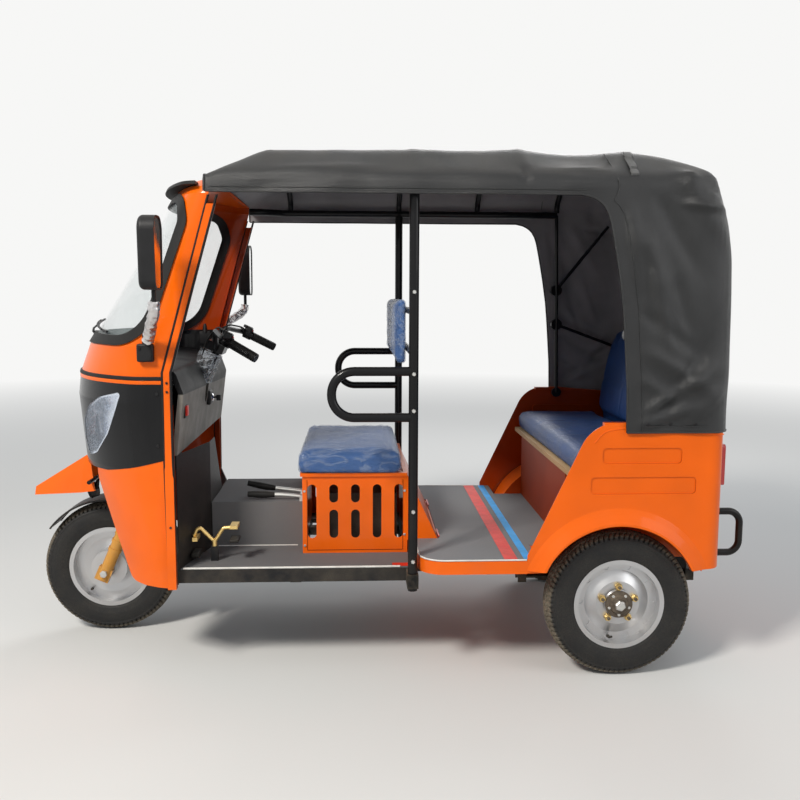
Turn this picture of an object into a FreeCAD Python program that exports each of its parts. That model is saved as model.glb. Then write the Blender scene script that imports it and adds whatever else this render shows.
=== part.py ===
# Three-wheeled auto rickshaw: open cab, driver's seat box, passenger bench, folding canopy.
# Millimetres. The nose points along -X, the vehicle's left side is -Y, the ground is Z = 0.

import FreeCAD
import Part
import math
import os

Vec = FreeCAD.Vector
os.makedirs("parts", exist_ok=True)
doc = FreeCAD.newDocument("AutoRickshaw")

# Driving dimensions: name, value.
DIMENSIONS = (
    ("front_axle_x", -1077.0),
    ("rear_axle_x", 877.5),
    ("track_half", 518.8),
    ("tyre_outer", 267.5),
    ("tyre_width", 105.0),
    ("bead_seat", 152.4),
    ("rim_flange", 165.0),
    ("rim_width", 85.0),
    ("disc_face", 2.0),
    ("dimples", 10.0),
    ("front_hub_half", 82.0),
    ("hub_inner", 36.0),
    ("front_spindle", 9.0),
    ("rear_spindle", 14.0),
    ("axle_radius", 28.0),
    ("spring_half", 322.0),
    ("rake", 24.0),
    ("fork_offset", 45.0),
    ("fork_half", 112.0),
    ("fork_leg", 20.0),
    ("stem_radius", 16.0),
    ("head_radius", 30.0),
    ("strut_radius", 16.0),
    ("bar_tube", 11.0),
    ("guard_gap", 14.5),
    ("guard_half", 68.0),
    ("skin", 3.0),
    ("panel_step", 1.5),
    ("cab_half", 536.0),
    ("horn_radius", 30.0),
    ("rail_front", -700.0),
    ("rail_back", 1190.0),
    ("rail_half", 360.0),
    ("rail_top", 392.0),
    ("rail_width", 40.0),
    ("rail_depth", 50.0),
    ("front_member_x", -290.0),
    ("rear_member_x", 545.0),
    ("back_member_x", 1170.0),
    ("post_front_x", 330.0),
    ("floor_top", 395.0),
    ("floor_half", 498.0),
    ("bulkhead_x", -637.0),
    ("bulkhead_side", -706.0),
    ("mat", 5.0),
    ("pedal_x", -593.0),
    ("pedal_y", -400.0),
    ("pedal_stand", 60.0),
    ("tunnel_half", 210.0),
    ("tunnel_top", 571.0),
    ("rear_floor_top", 448.0),
    ("rear_floor_front", 150.0),
    ("rear_floor_hem", 46.0),
    ("box_front", -274.0),
    ("box_rear", 123.0),
    ("box_half", 323.0),
    ("box_top", 700.0),
    ("box_lip", 10.0),
    ("tail_x", 240.0),
    ("slot_pitch", 82.0),
    ("slot_radius", 16.5),
    ("cushion_front", -305.0),
    ("cushion_half", 360.0),
    ("cushion_thick", 90.0),
    ("backrest_half", 450.0),
    ("engine_half", 185.0),
    ("pillar_x", 129.0),
    ("pillar_half", 557.0),
    ("tube_radius", 17.0),
    ("bar_radius", 12.0),
    ("loop_radius", 16.0),
    ("rail_radius", 15.0),
    ("rail_height", 1748.0),
    ("bow_radius", 12.0),
    ("bench_front", 700.0),
    ("bench_rear", 1190.0),
    ("bench_half", 430.0),
    ("bench_top", 745.0),
    ("board", 18.0),
    ("board_half", 585.0),
    ("body_half", 610.0),
    ("body_back", 1230.0),
    ("body_corner", 60.0),
    ("press_depth", 4.0),
    ("arch_radius", 288.0),
    ("house_inner", 430.0),
    ("hoop_y", 450.0),
    ("hoop_back", 1356.0),
    ("hoop_radius", 13.0),
    ("canopy_half", 619.0),
    ("canopy_back", 1250.0),
    ("cloth", 3.0),
    ("stalk_radius", 7.0),
    ("seat_gap", 0.3),
    ("run_gap", 0.4),
)

sheet = doc.addObject("Spreadsheet::Sheet", "Dims")
for row, (alias, value) in enumerate(DIMENSIONS, start=1):
    sheet.set("A%d" % row, alias)
    sheet.set("B%d" % row, str(value))
    sheet.setAlias("B%d" % row, alias)
doc.recompute()


def dim(alias):
    return float(sheet.get(alias))


NODES = []

# Outlines and solids


def keep(obj, label):
    """Give a finished sub-part its label and list it for export."""
    obj.Label = label
    NODES.append(obj)
    return obj


def feature(label, shape, placement=None):
    """A sub-part whose form comes from profiles and lofts worked out above it."""
    obj = doc.addObject("Part::Feature", label)
    obj.Shape = shape
    if placement is not None:
        obj.Placement = placement
    return keep(obj, label)


def in_plane(plane, a, b, level=0.0):
    """A point of plane xy, xz or yz, at a level along the plane's normal."""
    if plane == "xy":
        return Vec(a, b, level)
    if plane == "xz":
        return Vec(a, level, b)
    return Vec(level, a, b)


def arc_at(before, here, after, radius):
    """The arc that rounds the corner at here: its start, middle and end."""
    back = (before - here).normalize()
    ahead = (after - here).normalize()
    half = back.getAngle(ahead) / 2
    reach = radius / math.tan(half)
    bisector = (back + ahead).normalize()
    middle = here + bisector * (radius / math.sin(half) - radius)
    return here + back * reach, middle, here + ahead * reach


def route(points, closed):
    """Edges through points given as (position, corner radius)."""
    count = len(points)
    legs = []
    for i, (here, radius) in enumerate(points):
        inside = closed or 0 < i < count - 1
        if radius > 0 and inside:
            before = points[i - 1][0]
            after = points[(i + 1) % count][0]
            legs.append(arc_at(before, here, after, radius))
        else:
            legs.append((here, None, here))
    edges = []
    for i, (start, middle, end) in enumerate(legs):
        if middle is not None:
            edges.append(Part.Arc(start, middle, end).toShape())
        if i + 1 < count or closed:
            following = legs[(i + 1) % count][0]
            if end.distanceToPoint(following) > 1e-6:
                edges.append(Part.LineSegment(end, following).toShape())
    return Part.Wire(edges)


def outline(plane, points, level=0.0):
    """A closed wire through (a, b, corner radius)."""
    return route([(in_plane(plane, a, b, level), r) for a, b, r in points], True)


def plate(plane, points, start, end):
    """The outline pushed from one level to another along its normal."""
    face = Part.Face(outline(plane, points, start))
    return face.extrude(in_plane(plane, 0, 0, end - start))


def block(x0, x1, y0, y1, z0, z1):
    return Part.makeBox(x1 - x0, y1 - y0, z1 - z0, Vec(x0, y0, z0))


def rod(start, end, radius):
    line = Vec(*end) - Vec(*start)
    return Part.makeCylinder(radius, line.Length, Vec(*start), line)


def tube(points, radius):
    """A round bar along (x, y, z, bend radius)."""
    path = route([(Vec(x, y, z), r) for x, y, z, r in points], False)
    first = Vec(*points[0][:3])
    heading = Vec(*points[1][:3]) - first
    ring = Part.Wire([Part.Circle(first, heading, radius).toShape()])
    return path.makePipeShell([ring], True, False)


def ring(points, centre):
    """Turn a closed (radius, offset) profile about a line along Y."""
    x, y, z = centre
    wire = Part.makePolygon([Vec(x + r, y + s, z) for r, s in points + points[:1]])
    return Part.Face(wire).revolve(Vec(x, y, z), Vec(0, 1, 0), 360)


def flip(shape):
    """The same form on the other side of the vehicle."""
    return shape.mirror(Vec(0, 0, 0), Vec(0, 1, 0))


def both(shape):
    """Two solids of one node, one on each side."""
    return Part.makeCompound([shape, flip(shape)])


def fused(shapes):
    whole = shapes[0].fuse(shapes[1:]) if len(shapes) > 1 else shapes[0]
    return whole.removeSplitter()


# Bodies made of sketches


def datum(body, role):
    """One of a body's own origin planes or axes."""
    return next(item for item in body.Origin.OriginFeatures if item.Role == role)


def sketch(body, name, plane, edges, level=None):
    """A sketch on a body's own plane, moved along the plane's normal by an expression."""
    drawn = body.newObject("Sketcher::SketchObject", name)
    drawn.AttachmentSupport = [(datum(body, plane.upper() + "_Plane"), "")]
    drawn.MapMode = "FlatFace"
    for edge in edges:
        drawn.addGeometry(edge)
    if level is not None:
        drawn.setExpression("AttachmentOffset.Base.z", level)
    return drawn


def drawn_outline(points):
    """Sketch lines and arcs of a closed outline of (a, b, corner radius)."""
    edges = []
    for edge in outline("xy", points).OrderedEdges:
        first, last = edge.firstVertex(True).Point, edge.lastVertex(True).Point
        if isinstance(edge.Curve, Part.Circle):
            middle = edge.valueAt((edge.FirstParameter + edge.LastParameter) / 2)
            edges.append(Part.Arc(first, middle, last))
        else:
            edges.append(Part.LineSegment(first, last))
    return edges


def new_body(label):
    body = doc.addObject("PartDesign::Body", label)
    body.Label = label
    return body


def pad(body, name, plane, points, length, level=None, both_ways=False):
    """Push an outline along its plane's normal; length and level are expressions."""
    block_pad = body.newObject("PartDesign::Pad", name)
    block_pad.Profile = sketch(body, name + "_outline", plane, drawn_outline(points), level)
    block_pad.setExpression("Length", length)
    block_pad.Midplane = both_ways
    doc.recompute()
    return block_pad


def pocket(body, name, plane, points, length, level=None, both_ways=False):
    """Cut an outline out of a body; the cut runs against the plane's normal."""
    before = body.Shape.Volume
    cut = body.newObject("PartDesign::Pocket", name)
    cut.Profile = sketch(body, name + "_outline", plane, drawn_outline(points), level)
    cut.setExpression("Length", length)
    cut.Midplane = both_ways
    doc.recompute()
    if body.Shape.Volume >= before:
        raise RuntimeError("%s cut nothing" % name)
    return cut


def turned(body, name, points):
    """Turn a closed (radius, offset) section about the body's own Z axis."""
    section = body.newObject("PartDesign::Revolution", name)
    section.Profile = sketch(body, name + "_section", "xz", drawn_outline(points))
    section.ReferenceAxis = (datum(body, "Z_Axis"), [""])
    section.Angle = 360.0
    doc.recompute()
    return section


def around(body, name, feature_made, count):
    """Repeat a feature round the body's own Z axis; count is an expression."""
    pattern = body.newObject("PartDesign::PolarPattern", name)
    pattern.Originals = [feature_made]
    pattern.Axis = (datum(body, "Z_Axis"), [""])
    pattern.Angle = 360.0
    pattern.setExpression("Occurrences", count)
    body.Tip = pattern
    doc.recompute()
    return pattern


def bound_box(name, corner, size):
    """A box whose corner and size are expressions in x, y, z order."""
    made = doc.addObject("Part::Box", name)
    for axis, text in zip("xyz", corner):
        made.setExpression("Placement.Base." + axis, text)
    for side, text in zip(("Length", "Width", "Height"), size):
        made.setExpression(side, text)
    doc.recompute()
    return made


def joined(name, pieces):
    """The union of several objects, kept as an object of its own."""
    whole = doc.addObject("Part::MultiFuse", name)
    whole.Shapes = pieces
    whole.Refine = True
    doc.recompute()
    return whole


# Cab: plan sections of arcs, lofted up the nose


# Plan sections of the nose: height, nose tip x, front radius, half width, corner radius.
CAB_SECTIONS = (
    (310.0, -1060.0, 560.0, 505.0, 140.0),
    (760.0, -1136.0, 600.0, 530.0, 135.0),
    (1000.0, -1157.0, 600.0, 532.0, 130.0),
    (1085.0, -1147.0, 600.0, 532.0, 130.0),
    (1195.0, -1105.0, 650.0, 532.0, 150.0),
    (1715.0, -774.0, 1000.0, 530.0, 90.0),
    (1740.0, -757.0, 1000.0, 524.0, 90.0),
    (1767.0, -722.0, 930.0, 480.0, 90.0),
)
CAB_BACK_X = -380.0
POST_X = -738.0
# Where the skins end against the door posts and under the roof: x, z.
POST_SEAM = ((POST_X, 0.0), (POST_X, 1106.0), (-576.0, 1680.0), (-551.0, 1767.0),
             (-484.0, 2000.0))
# Side outline of the screen's opening: x, z, corner radius.
SCREEN_HOLE = ((-1500.0, 1212.0, 0.0), (-800.0, 1212.0, 170.0), (-655.0, 1625.0, 75.0),
               (-672.0, 1716.0, 45.0), (-1500.0, 1716.0, 0.0))
TRIM_Z = 1078.0
# The nose panel's lower edge, where the leg shields begin: x, z.
NOSE_EDGE = ((-1023.0, 742.7), (-966.0, 746.0), (-865.0, 768.0), (POST_X, 799.0))
# Side outline of a headlamp: x, z, corner radius.
LAMP_SIDE = ((-888.0, 1038.0, 10.0), (-914.0, 972.0, 60.0), (-954.0, 882.0, 120.0),
             (-1017.0, 800.0, 40.0), (-1064.0, 780.0, 20.0), (-1093.0, 835.0, 45.0),
             (-1086.0, 910.0, 60.0), (-1046.0, 973.0, 80.0), (-985.0, 1013.0, 80.0))


def cab_section(z, nose, front_r, half, corner_r, inset):
    """One plan section: back, sides, corners and the nose's wide arc."""
    centre = nose + front_r
    corner_y = half - corner_r
    gap = front_r - corner_r
    corner_x = centre - math.sqrt(gap ** 2 - corner_y ** 2)
    front_r = front_r - inset
    corner_r = corner_r - inset
    half = half - inset
    reach = Vec(corner_x - centre, corner_y, 0).normalize()
    meet = Vec(centre, 0, z) + Vec(reach.x, reach.y, 0) * front_r
    turn = (math.atan2(reach.y, reach.x) + math.pi / 2) / 2
    bend = Vec(corner_x + corner_r * math.cos(turn), corner_y + corner_r * math.sin(turn), z)
    side = Vec(corner_x, half, z)
    back = Vec(CAB_BACK_X, half, z)
    tip = Vec(centre - front_r, 0, z)

    def far(p):
        return Vec(p.x, -p.y, p.z)

    return Part.Wire([
        Part.LineSegment(back, side).toShape(),
        Part.Arc(side, bend, meet).toShape(),
        Part.Arc(meet, tip, far(meet)).toShape(),
        Part.Arc(far(meet), far(bend), far(side)).toShape(),
        Part.LineSegment(far(side), far(back)).toShape(),
        Part.LineSegment(far(back), back).toShape(),
    ])


def cab_body(inset):
    """The nose and cab as one solid, with its skin moved inwards by inset."""
    wires = [cab_section(z, nose, front_r, half, corner_r, inset)
             for z, nose, front_r, half, corner_r in CAB_SECTIONS]
    return Part.makeLoft(wires, True, True)


def cab_layer(outer, inner):
    """A layer of the cab between two insets."""
    return cab_body(outer).cut(cab_body(inner))


def side_area(points):
    """A side outline pushed right across the vehicle."""
    reach = 900.0
    return plate("xz", points, -reach, reach)


def grown_side(points, margin, start, end):
    """A side outline grown by a margin and pushed between two levels."""
    wire = outline("xz", points, start)
    if margin:
        wire = wire.makeOffset2D(margin)
    return Part.Face(wire).extrude(Vec(0, end - start, 0))


def ahead_of_posts():
    """Everything in front of the door posts and under the roof's rear edge."""
    back = [(x, z, 0) for x, z in POST_SEAM]
    return side_area([(-1600, 0, 0)] + back + [(-1600, 2000, 0)])


def door_post():
    """The folded left door post, from below the floor to the roof."""
    foot, half, wide, fold = 334.0, dim("cab_half"), 30.0, dim("skin")
    (x0, z0), (x1, z1) = POST_SEAM[1], POST_SEAM[2]
    strip = plate("xz", [(x0, foot, 0), (x0, z0, 0), (x1, z1, 0), (x1 + wide, z1, 0),
                         (x0 + wide, z0, 0), (x0 + wide, foot, 0)], 2 - half, 28 - half)
    inside = plate("xz", [(x0 - 1, foot - 4, 0), (x0 + fold, z0, 0), (x1 + fold, z1 + 6, 0),
                          (x1 + wide - fold, z1 + 6, 0), (x0 + wide - fold, z0 - 2, 0),
                          (x0 + wide - fold, foot - 4, 0)], 2 + fold - half, 36 - half)
    return strip.cut(inside)


def make_cab():
    skin, wide = dim("skin"), dim("cab_half") + 170
    lid_z = CAB_SECTIONS[-1][0]
    front = ahead_of_posts()
    lid = cab_body(0).common(block(-1600, 0, -wide, wide, lid_z - skin, lid_z + 1)).common(front)
    upper = cab_layer(0, skin).common(front)
    upper = upper.common(block(-1600, 0, -wide, wide, TRIM_Z, 1800)).cut(side_area(SCREEN_HOLE))
    post = door_post()
    feature("cab_shell", fused([upper, lid, post, flip(post)]))
    edge = [(x, z, 0) for x, z in NOSE_EDGE]
    panel = side_area([(-1600, 700, 0)] + edge + [(POST_X, TRIM_Z, 0), (-1600, TRIM_Z, 0)])
    lamps = lamp_area(0)
    feature("nose_panel", cab_layer(-dim("panel_step"), skin).common(panel).cut(lamps))
    shield = side_area(edge + [(POST_X, 330, 0), (-835, 326, 60), (-893, 332, 40),
                               (-1023, 700, 20)])
    feature("leg_shields", cab_layer(0, skin).common(shield))


def make_windscreen():
    reach = 900.0
    front = block(-1600, -600, -700, 700, 1150, 1760)
    glass = cab_layer(2.0, 6.0).common(grown_side(SCREEN_HOLE, -6.0, -reach, reach)).common(front)
    feature("windscreen", glass)
    band = grown_side(SCREEN_HOLE, 14.0, -reach, reach)
    band = band.cut(grown_side(SCREEN_HOLE, -20.0, -reach, reach))
    seal = cab_layer(-7.0, 9.0).common(band).common(front)
    frame = cab_layer(0, dim("skin")).cut(side_area(SCREEN_HOLE))
    seal = seal.cut(frame).cut(glass)
    feature("screen_trim", Part.makeCompound(seal.Solids + visor().Solids))


def visor():
    """The thin sun lip that follows the roof's front edge."""
    lip = Part.makeLoft([cab_section(z, nose, 1000.0, 536.0, 90.0, 0)
                         for z, nose in ((1745.0, -800.0), (1756.0, -795.0))], True, True)
    return lip.cut(cab_body(0.0)).common(block(-900, -610, -700, 700, 1700, 1800))


def lamp_area(grow):
    """The two headlamps' side outlines pushed through the nose's flanks."""
    one = grown_side(LAMP_SIDE, grow, -700.0, -150.0)
    return one.fuse(flip(one))


def make_lamps():
    skin, gap = dim("skin"), dim("seat_gap")
    feature("headlamp_lenses", cab_layer(-4.0, 0.5).common(lamp_area(-gap)))
    bowl = cab_layer(skin, 60.0).common(lamp_area(-2.0))
    flange = cab_layer(skin, 8.0).common(lamp_area(8.0))
    hollow = cab_layer(0.0, 55.0).common(lamp_area(-6.0))
    feature("headlamp_bowls", bowl.fuse(flange).cut(hollow))


# Nose pieces


# Front wing sections: x, half width, foot height, top height.
BEAK_SECTIONS = (
    (-1369.0, 34.0, 569.0, 600.0),
    (-1150.0, 150.0, 602.0, 735.0),
    (-1050.0, 175.0, 618.0, 790.0),
)


def beak_section(x, half, low, high, inset):
    """One cross-section of the front wing, wider at its foot."""
    top = max(half * 0.55 - inset, 4.0)
    foot = half - inset
    return outline("yz", [(-foot, low, 0), (foot, low, 0), (top, high - inset, 0),
                          (-top, high - inset, 0)], x)


def front_wing():
    """The hollow wing over the front wheel, open below."""
    skin = dim("skin")
    outer = Part.makeLoft([beak_section(x, h, lo, hi, 0) for x, h, lo, hi in BEAK_SECTIONS],
                          True, True)
    inner = [beak_section(x, h, lo - 1, hi, skin) for x, h, lo, hi in BEAK_SECTIONS]
    x, h, lo, hi = BEAK_SECTIONS[0]
    inner[0] = beak_section(x + 12, h + 5, lo - 1, hi + 6, skin)
    shell = outer.cut(Part.makeLoft(inner, True, True))
    shell = shell.cut(cab_body(-dim("panel_step")))
    shell = shell.common(block(-1400, -1040, -200, 200, 500, 760))
    return max(shell.Solids, key=lambda s: s.Volume)


def make_wing_and_horn():
    wing = front_wing()
    feature("front_wing", wing)
    face, back, top = (-1138, -70, 593), (-1110, -70, 600), (-1105, -70, 650)
    rim = (-1132, -70, 594.5)
    pieces = [rod(rim, back, dim("horn_radius")), rod(face, rim, dim("horn_radius") + 3),
              rod(back, top, 7.0)]
    # A bar between the wing's walls carries the horn.
    bar = rod((-1105, -190, 650), (-1105, 190, 650), 8.0).cut(wing).Solids
    pieces.append(min(bar, key=lambda s: abs(s.CenterOfMass.y)))
    feature("horn", fused(pieces))


def make_dash():
    """The panel across the cab, with a shelf that runs forward to the nose."""
    half, foot = 506.0, 812.0
    wall = plate("xz", [(-716, foot, 0), (-700, foot, 0), (-672, 1030, 30), (-700, 1110, 30),
                        (-1000, 1150, 0), (-1000, 1140, 0), (-716, 1098, 0), (-690, 1030, 0)],
                 -half, half)
    wall = wall.common(cab_body(dim("skin") + 1))
    column = rod(steer_point(0, 0, 400), steer_point(0, 0, 1100), dim("head_radius") + 10)
    feature("dash_panel", wall.cut(column))


# Frame and floors


# Cross members: x, half width.
CROSS_MEMBERS = (("rail_front", 360.0), ("front_member_x", 490.0), ("pillar_x", 581.0),
                 ("rear_member_x", 410.0), ("back_member_x", 360.0))


def make_rail(side):
    """One side rail with its spring hangers and the posts under the raised floor."""
    name = "rail_left" if side < 0 else "rail_right"
    line = "%d * Dims.rail_half" % side
    parts = [bound_box(name, ("Dims.rail_front", line + " - Dims.rail_width / 2",
                              "Dims.rail_top - Dims.rail_depth"),
                       ("Dims.rail_back - Dims.rail_front", "Dims.rail_width",
                        "Dims.rail_depth"))]
    for end, along in (("front", -1), ("rear", 1)):
        hanger = "Dims.rear_axle_x + %d * Dims.spring_half - 16" % along
        under = "Dims.rail_top - Dims.rail_depth"
        parts.append(bound_box("_".join((name, end, "cap")), (hanger, line + " - 30", under + " - 8"),
                               ("32", "60", "10")))
        for cheek, shift in (("inner", -1), ("outer", 1)):
            parts.append(bound_box(
                "_".join((name, end, cheek)),
                (hanger, line + " + %d * 27 - 3" % shift, "Dims.tyre_outer + 30.5"),
                ("32", "6", under + " - Dims.tyre_outer - 30.5")))
    for post in ("post_front_x", "rear_member_x"):
        parts.append(bound_box(
            "_".join((name, post)),
            ("Dims.%s - 20" % post, line + " - 20", "Dims.rail_top"),
            ("40", "40", "Dims.rear_floor_top - Dims.skin - Dims.rail_top - Dims.seat_gap")))
    return joined(name + "_welded", parts).Shape


def make_head():
    """The head tube and the two struts that carry it."""
    bore = dim("stem_radius") + dim("run_gap")
    front, top, wide = dim("rail_front"), dim("rail_top"), dim("rail_width")
    pieces = [rod(steer_point(0, 0, 440), steer_point(0, 0, 680), dim("head_radius"))]
    for side in (-1, 1):
        foot = (front, side * 70, top - dim("rail_depth") / 2)
        pieces.append(rod(foot, steer_point(-10, side * 22, 560), dim("strut_radius")))
    gap = dim("seat_gap")
    member = block(front - wide / 2 - gap, front + wide, -200, 200, 0, top + gap)
    head = fused(pieces).cut(rod(steer_point(0, 0, 400), steer_point(0, 0, 700), bore))
    return max(head.cut(member).Solids, key=lambda s: s.Volume)


def make_chassis():
    """The ladder frame: rails, cross members and outriggers, with the head tube."""
    top, wide, deep, gap = dim("rail_top"), dim("rail_width"), dim("rail_depth"), dim("seat_gap")
    solids = [make_rail(-1), make_rail(1), make_head()]
    y = dim("rail_half")
    weld = [block(-900, 1400, side * y - wide / 2 - gap, side * y + wide / 2 + gap, 0, 600)
            for side in (-1, 1)]
    x, post = dim("pillar_x"), dim("pillar_half")
    socket = rod((x, -post, 300), (x, -post, 400), dim("tube_radius") + gap)
    for where, half in CROSS_MEMBERS:
        x = dim(where)
        member = block(x - wide / 2, x + wide / 2, -half, half, top - deep, top)
        solids += member.cut(weld[0]).cut(weld[1]).cut(socket).cut(flip(socket)).Solids
    feature("chassis_frame", Part.makeCompound(solids))


def bulkhead_plan(half, tunnel, thick):
    """Plan of the wall ahead of the driver's feet."""
    side, middle = dim("bulkhead_side"), dim("bulkhead_x")
    return [(side, -half, 0), (middle, -tunnel, 0), (middle, tunnel, 0), (side, half, 0),
            (side + thick, half, 0), (middle + thick, tunnel + thick, 0),
            (middle + thick, -tunnel - thick, 0), (side + thick, -half, 0)]


def make_front_floor():
    """The driver's floor pan with its raised middle and the wall ahead of the feet."""
    half, top, t = dim("floor_half") + 2, dim("floor_top"), dim("skin")
    tun, high, box, rear = dim("tunnel_half"), dim("tunnel_top"), dim("box_front"), 128.0
    side, middle, hem, wall_top = dim("bulkhead_side"), dim("bulkhead_x"), top - 48, 812.0
    pan = plate("xy", [(side, -half, 0), (middle, -tun, 0), (middle, tun, 0), (side, half, 0),
                       (rear, half, 0), (rear, -half, 0)], hem, top)
    pan = pan.cut(block(-800, 200, -half + t, half - t, 300, top - t))
    tunnel = block(middle, box, -tun, tun, top - t, high)
    hollow = block(-700, box + 1, -tun + t, tun - t, 300, high - t)
    engine_way = block(box - 1, 110, -tun + t, tun - t, 300, top + 5)
    wall = plate("xy", bulkhead_plan(half, tun, t), top - t, wall_top)
    # The wall's right half is low; its upper edge slants up to the left of the column.
    wall = wall.cut(plate("yz", [(64, high, 0), (-100, wall_top + 1, 0), (half + 9, wall_top + 1, 0),
                                 (half + 9, high, 0)], side - 9, middle + 9))
    column = rod(steer_point(0, 0, 300), steer_point(0, 0, 900), dim("head_radius") + 16)
    shell = fused([pan, tunnel]).cut(hollow).cut(engine_way)
    outrigger = dim("pillar_x") - dim("rail_width") / 2 - 1
    shell = shell.cut(block(outrigger, 200, -600, 600, 300, top - t))
    x, y = dim("pedal_x"), dim("pedal_y")
    stand = block(x - 13, x + 13, y - 8, y + 8, top, top + dim("pedal_stand"))
    feature("front_floor", fused([shell, wall.cut(column), stand]))


def make_front_mat():
    half, top, m, gap = dim("floor_half"), dim("floor_top"), dim("mat"), dim("seat_gap")
    tun, high, x0, x1 = dim("tunnel_half"), dim("tunnel_top"), dim("bulkhead_x") + 7, dim("box_front")
    rear, box, side = 126.0, dim("box_half"), dim("bulkhead_side") + 7
    pieces = [
        block(x0, x1, -half, -tun, top, top + m),
        block(x0, x1, -tun - m, -tun, top, high + m),
        block(x0, x1, -tun - m, tun + m, high, high + m),
        block(x0, x1, tun, tun + m, top, high + m),
        block(x0, x1, tun, half, top, top + m),
        block(x1, rear, -half, -box - gap, top, top + m),
        block(x1, rear, box + gap, half, top, top + m),
        plate("xy", [(x0, -half, 0), (x0, -tun, 0), (side, -half, 0)], top, top + m),
        plate("xy", [(x0, half, 0), (x0, tun, 0), (side, half, 0)], top, top + m),
    ]
    x, y = dim("pedal_x"), dim("pedal_y")
    stand = block(x - 13 - gap, x + 13 + gap, y - 8 - gap, y + 8 + gap, top, top + m)
    feature("front_mat", fused(pieces).cut(stand))


def rear_floor_plan(grow):
    """Plan of the raised floor: round front corners, narrower between the wheels."""
    y, inner = dim("body_half") + grow, dim("body_half") - 4 + grow
    wheel, front = dim("house_inner") - 4 + grow, dim("rear_floor_front") - grow
    back = dim("bench_front")
    return [(front, -y, 90), (front, y, 90), (530, y, 0), (530, inner, 0),
            (572, inner, 0), (572, wheel, 0), (back, wheel, 0), (back, -wheel, 0),
            (572, -wheel, 0), (572, -inner, 0), (530, -inner, 0), (530, -y, 0)]


def make_rear_floor():
    pan = new_body("rear_floor")
    pad(pan, "rear_pan", "xy", rear_floor_plan(0), "Dims.rear_floor_hem",
        level="Dims.rear_floor_top - Dims.rear_floor_hem")
    pocket(pan, "rear_pan_hollow", "xy", rear_floor_plan(-dim("skin")), "Dims.rear_floor_hem",
           level="Dims.rear_floor_top - Dims.skin")
    keep(pan, "rear_floor")
    mat = new_body("rear_mat")
    pad(mat, "rear_cover", "xy", rear_floor_plan(-4.0), "Dims.mat", level="Dims.rear_floor_top")
    side, tail = dim("box_half") + dim("seat_gap"), dim("tail_x") + 5
    pocket(mat, "rear_cover_notch", "xy", [(0, -side, 0), (tail, -side, 0), (tail, side, 0),
                                           (0, side, 0)],
           "2 * Dims.mat", level="Dims.rear_floor_top + Dims.mat")
    keep(mat, "rear_mat")


# Seats


# Slots in each side of the seat box: place along the side, low end, high end.
BOX_SLOTS = ((0, 458.0, 665.0), (1, 458.0, 568.0), (1, 595.0, 665.0), (2, 458.0, 568.0),
             (2, 595.0, 665.0), (3, 458.0, 665.0), (4, 458.0, 665.0))


def make_seat_box():
    """The slotted steel box over the engine, with a sloping tail and a turned lip."""
    x0, x1, half, top = dim("box_front"), dim("box_rear"), dim("box_half"), dim("box_top")
    low, step, t, tail = dim("floor_top"), dim("rear_floor_top"), dim("skin"), dim("tail_x")
    box = new_body("seat_box")
    pad(box, "box_sides", "xz", [(x0, low, 0), (x0, top, 0), (x1, top, 0), (tail, step, 0),
                                 (x1, step, 0), (x1, low, 0)],
        "2 * Dims.box_half", both_ways=True)
    pocket(box, "box_room", "xz", [(x0 + t, low - 1, 0), (x0 + t, top - t, 0),
                                   (x1 - t, top - t, 0), (x1 - t, low - 1, 0)],
           "2 * (Dims.box_half - Dims.skin)", both_ways=True)
    pocket(box, "tail_room", "xz", [(x1, top - 12, 0), (tail - 6, step - 1, 0),
                                    (x1, step - 1, 0)],
           "2 * (Dims.box_half - Dims.skin)", both_ways=True)
    out, edge = 8.0, 16.0
    pad(box, "box_lip", "xy", [(x0 - out, -half - out, 6), (x1, -half - out, 6),
                               (x1, half + out, 6), (x0 - out, half + out, 6)],
        "Dims.box_lip + 3", level="Dims.box_top - 3")
    pocket(box, "lip_room", "xy", [(x0 + edge, -half + edge, 0), (x1 - edge, -half + edge, 0),
                                   (x1 - edge, half - edge, 0), (x0 + edge, half - edge, 0)],
           "Dims.box_lip", level="Dims.box_top + Dims.box_lip")
    r, first = dim("slot_radius"), x0 + 36
    for number, (place, z0, z1) in enumerate(BOX_SLOTS):
        x = first + dim("slot_pitch") * place
        pocket(box, "slot_%d" % number, "xz", [(x - r, z0, r - 0.1), (x + r, z0, r - 0.1),
                                               (x + r, z1, r - 0.1), (x - r, z1, r - 0.1)],
               "3 * Dims.box_half", both_ways=True)
    keep(box, "seat_box")


def side_pad(label, points, width):
    """A seat piece whose side outline runs across the vehicle."""
    seat = new_body(label)
    pad(seat, label + "_pad", "xz", points, width, both_ways=True)
    return keep(seat, label)


def make_driver_seat():
    gap = dim("seat_gap")
    low = dim("box_top") + dim("box_lip") + gap
    front, rear, top = dim("cushion_front"), dim("box_rear") - 8, low + dim("cushion_thick")
    side_pad("driver_cushion", [(front, low, 16), (front + 8, top, 30), (rear, top, 26),
                                (rear, low, 12)], "2 * Dims.cushion_half")
    back = dim("pillar_x") - 6.7 - dim("bar_radius") - gap
    side_pad("driver_backrest", [(back - 32, 1118, 14), (back, 1118, 8), (back, 1372, 14),
                                 (back - 37, 1372, 16)], "2 * Dims.backrest_half")


def make_engine():
    """The engine as a plain block on four mounting ears."""
    gap, half = dim("seat_gap"), dim("rail_width") / 2
    front, rear, low = -190.0, 90.0, 300.0
    solids = [block(front, rear, -dim("engine_half"), dim("engine_half"), low, 600)]
    start, end = dim("front_member_x") + half + gap, dim("pillar_x") - half - gap
    for y in (-130, 130):
        solids.append(block(start, front, y - 20, y + 20, dim("rail_top") - 42, dim("rail_top") - 8))
        solids.append(block(rear, end, y - 20, y + 20, dim("rail_top") - 42, dim("rail_top") - 8))
    feature("engine_block", fused(solids))


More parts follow.
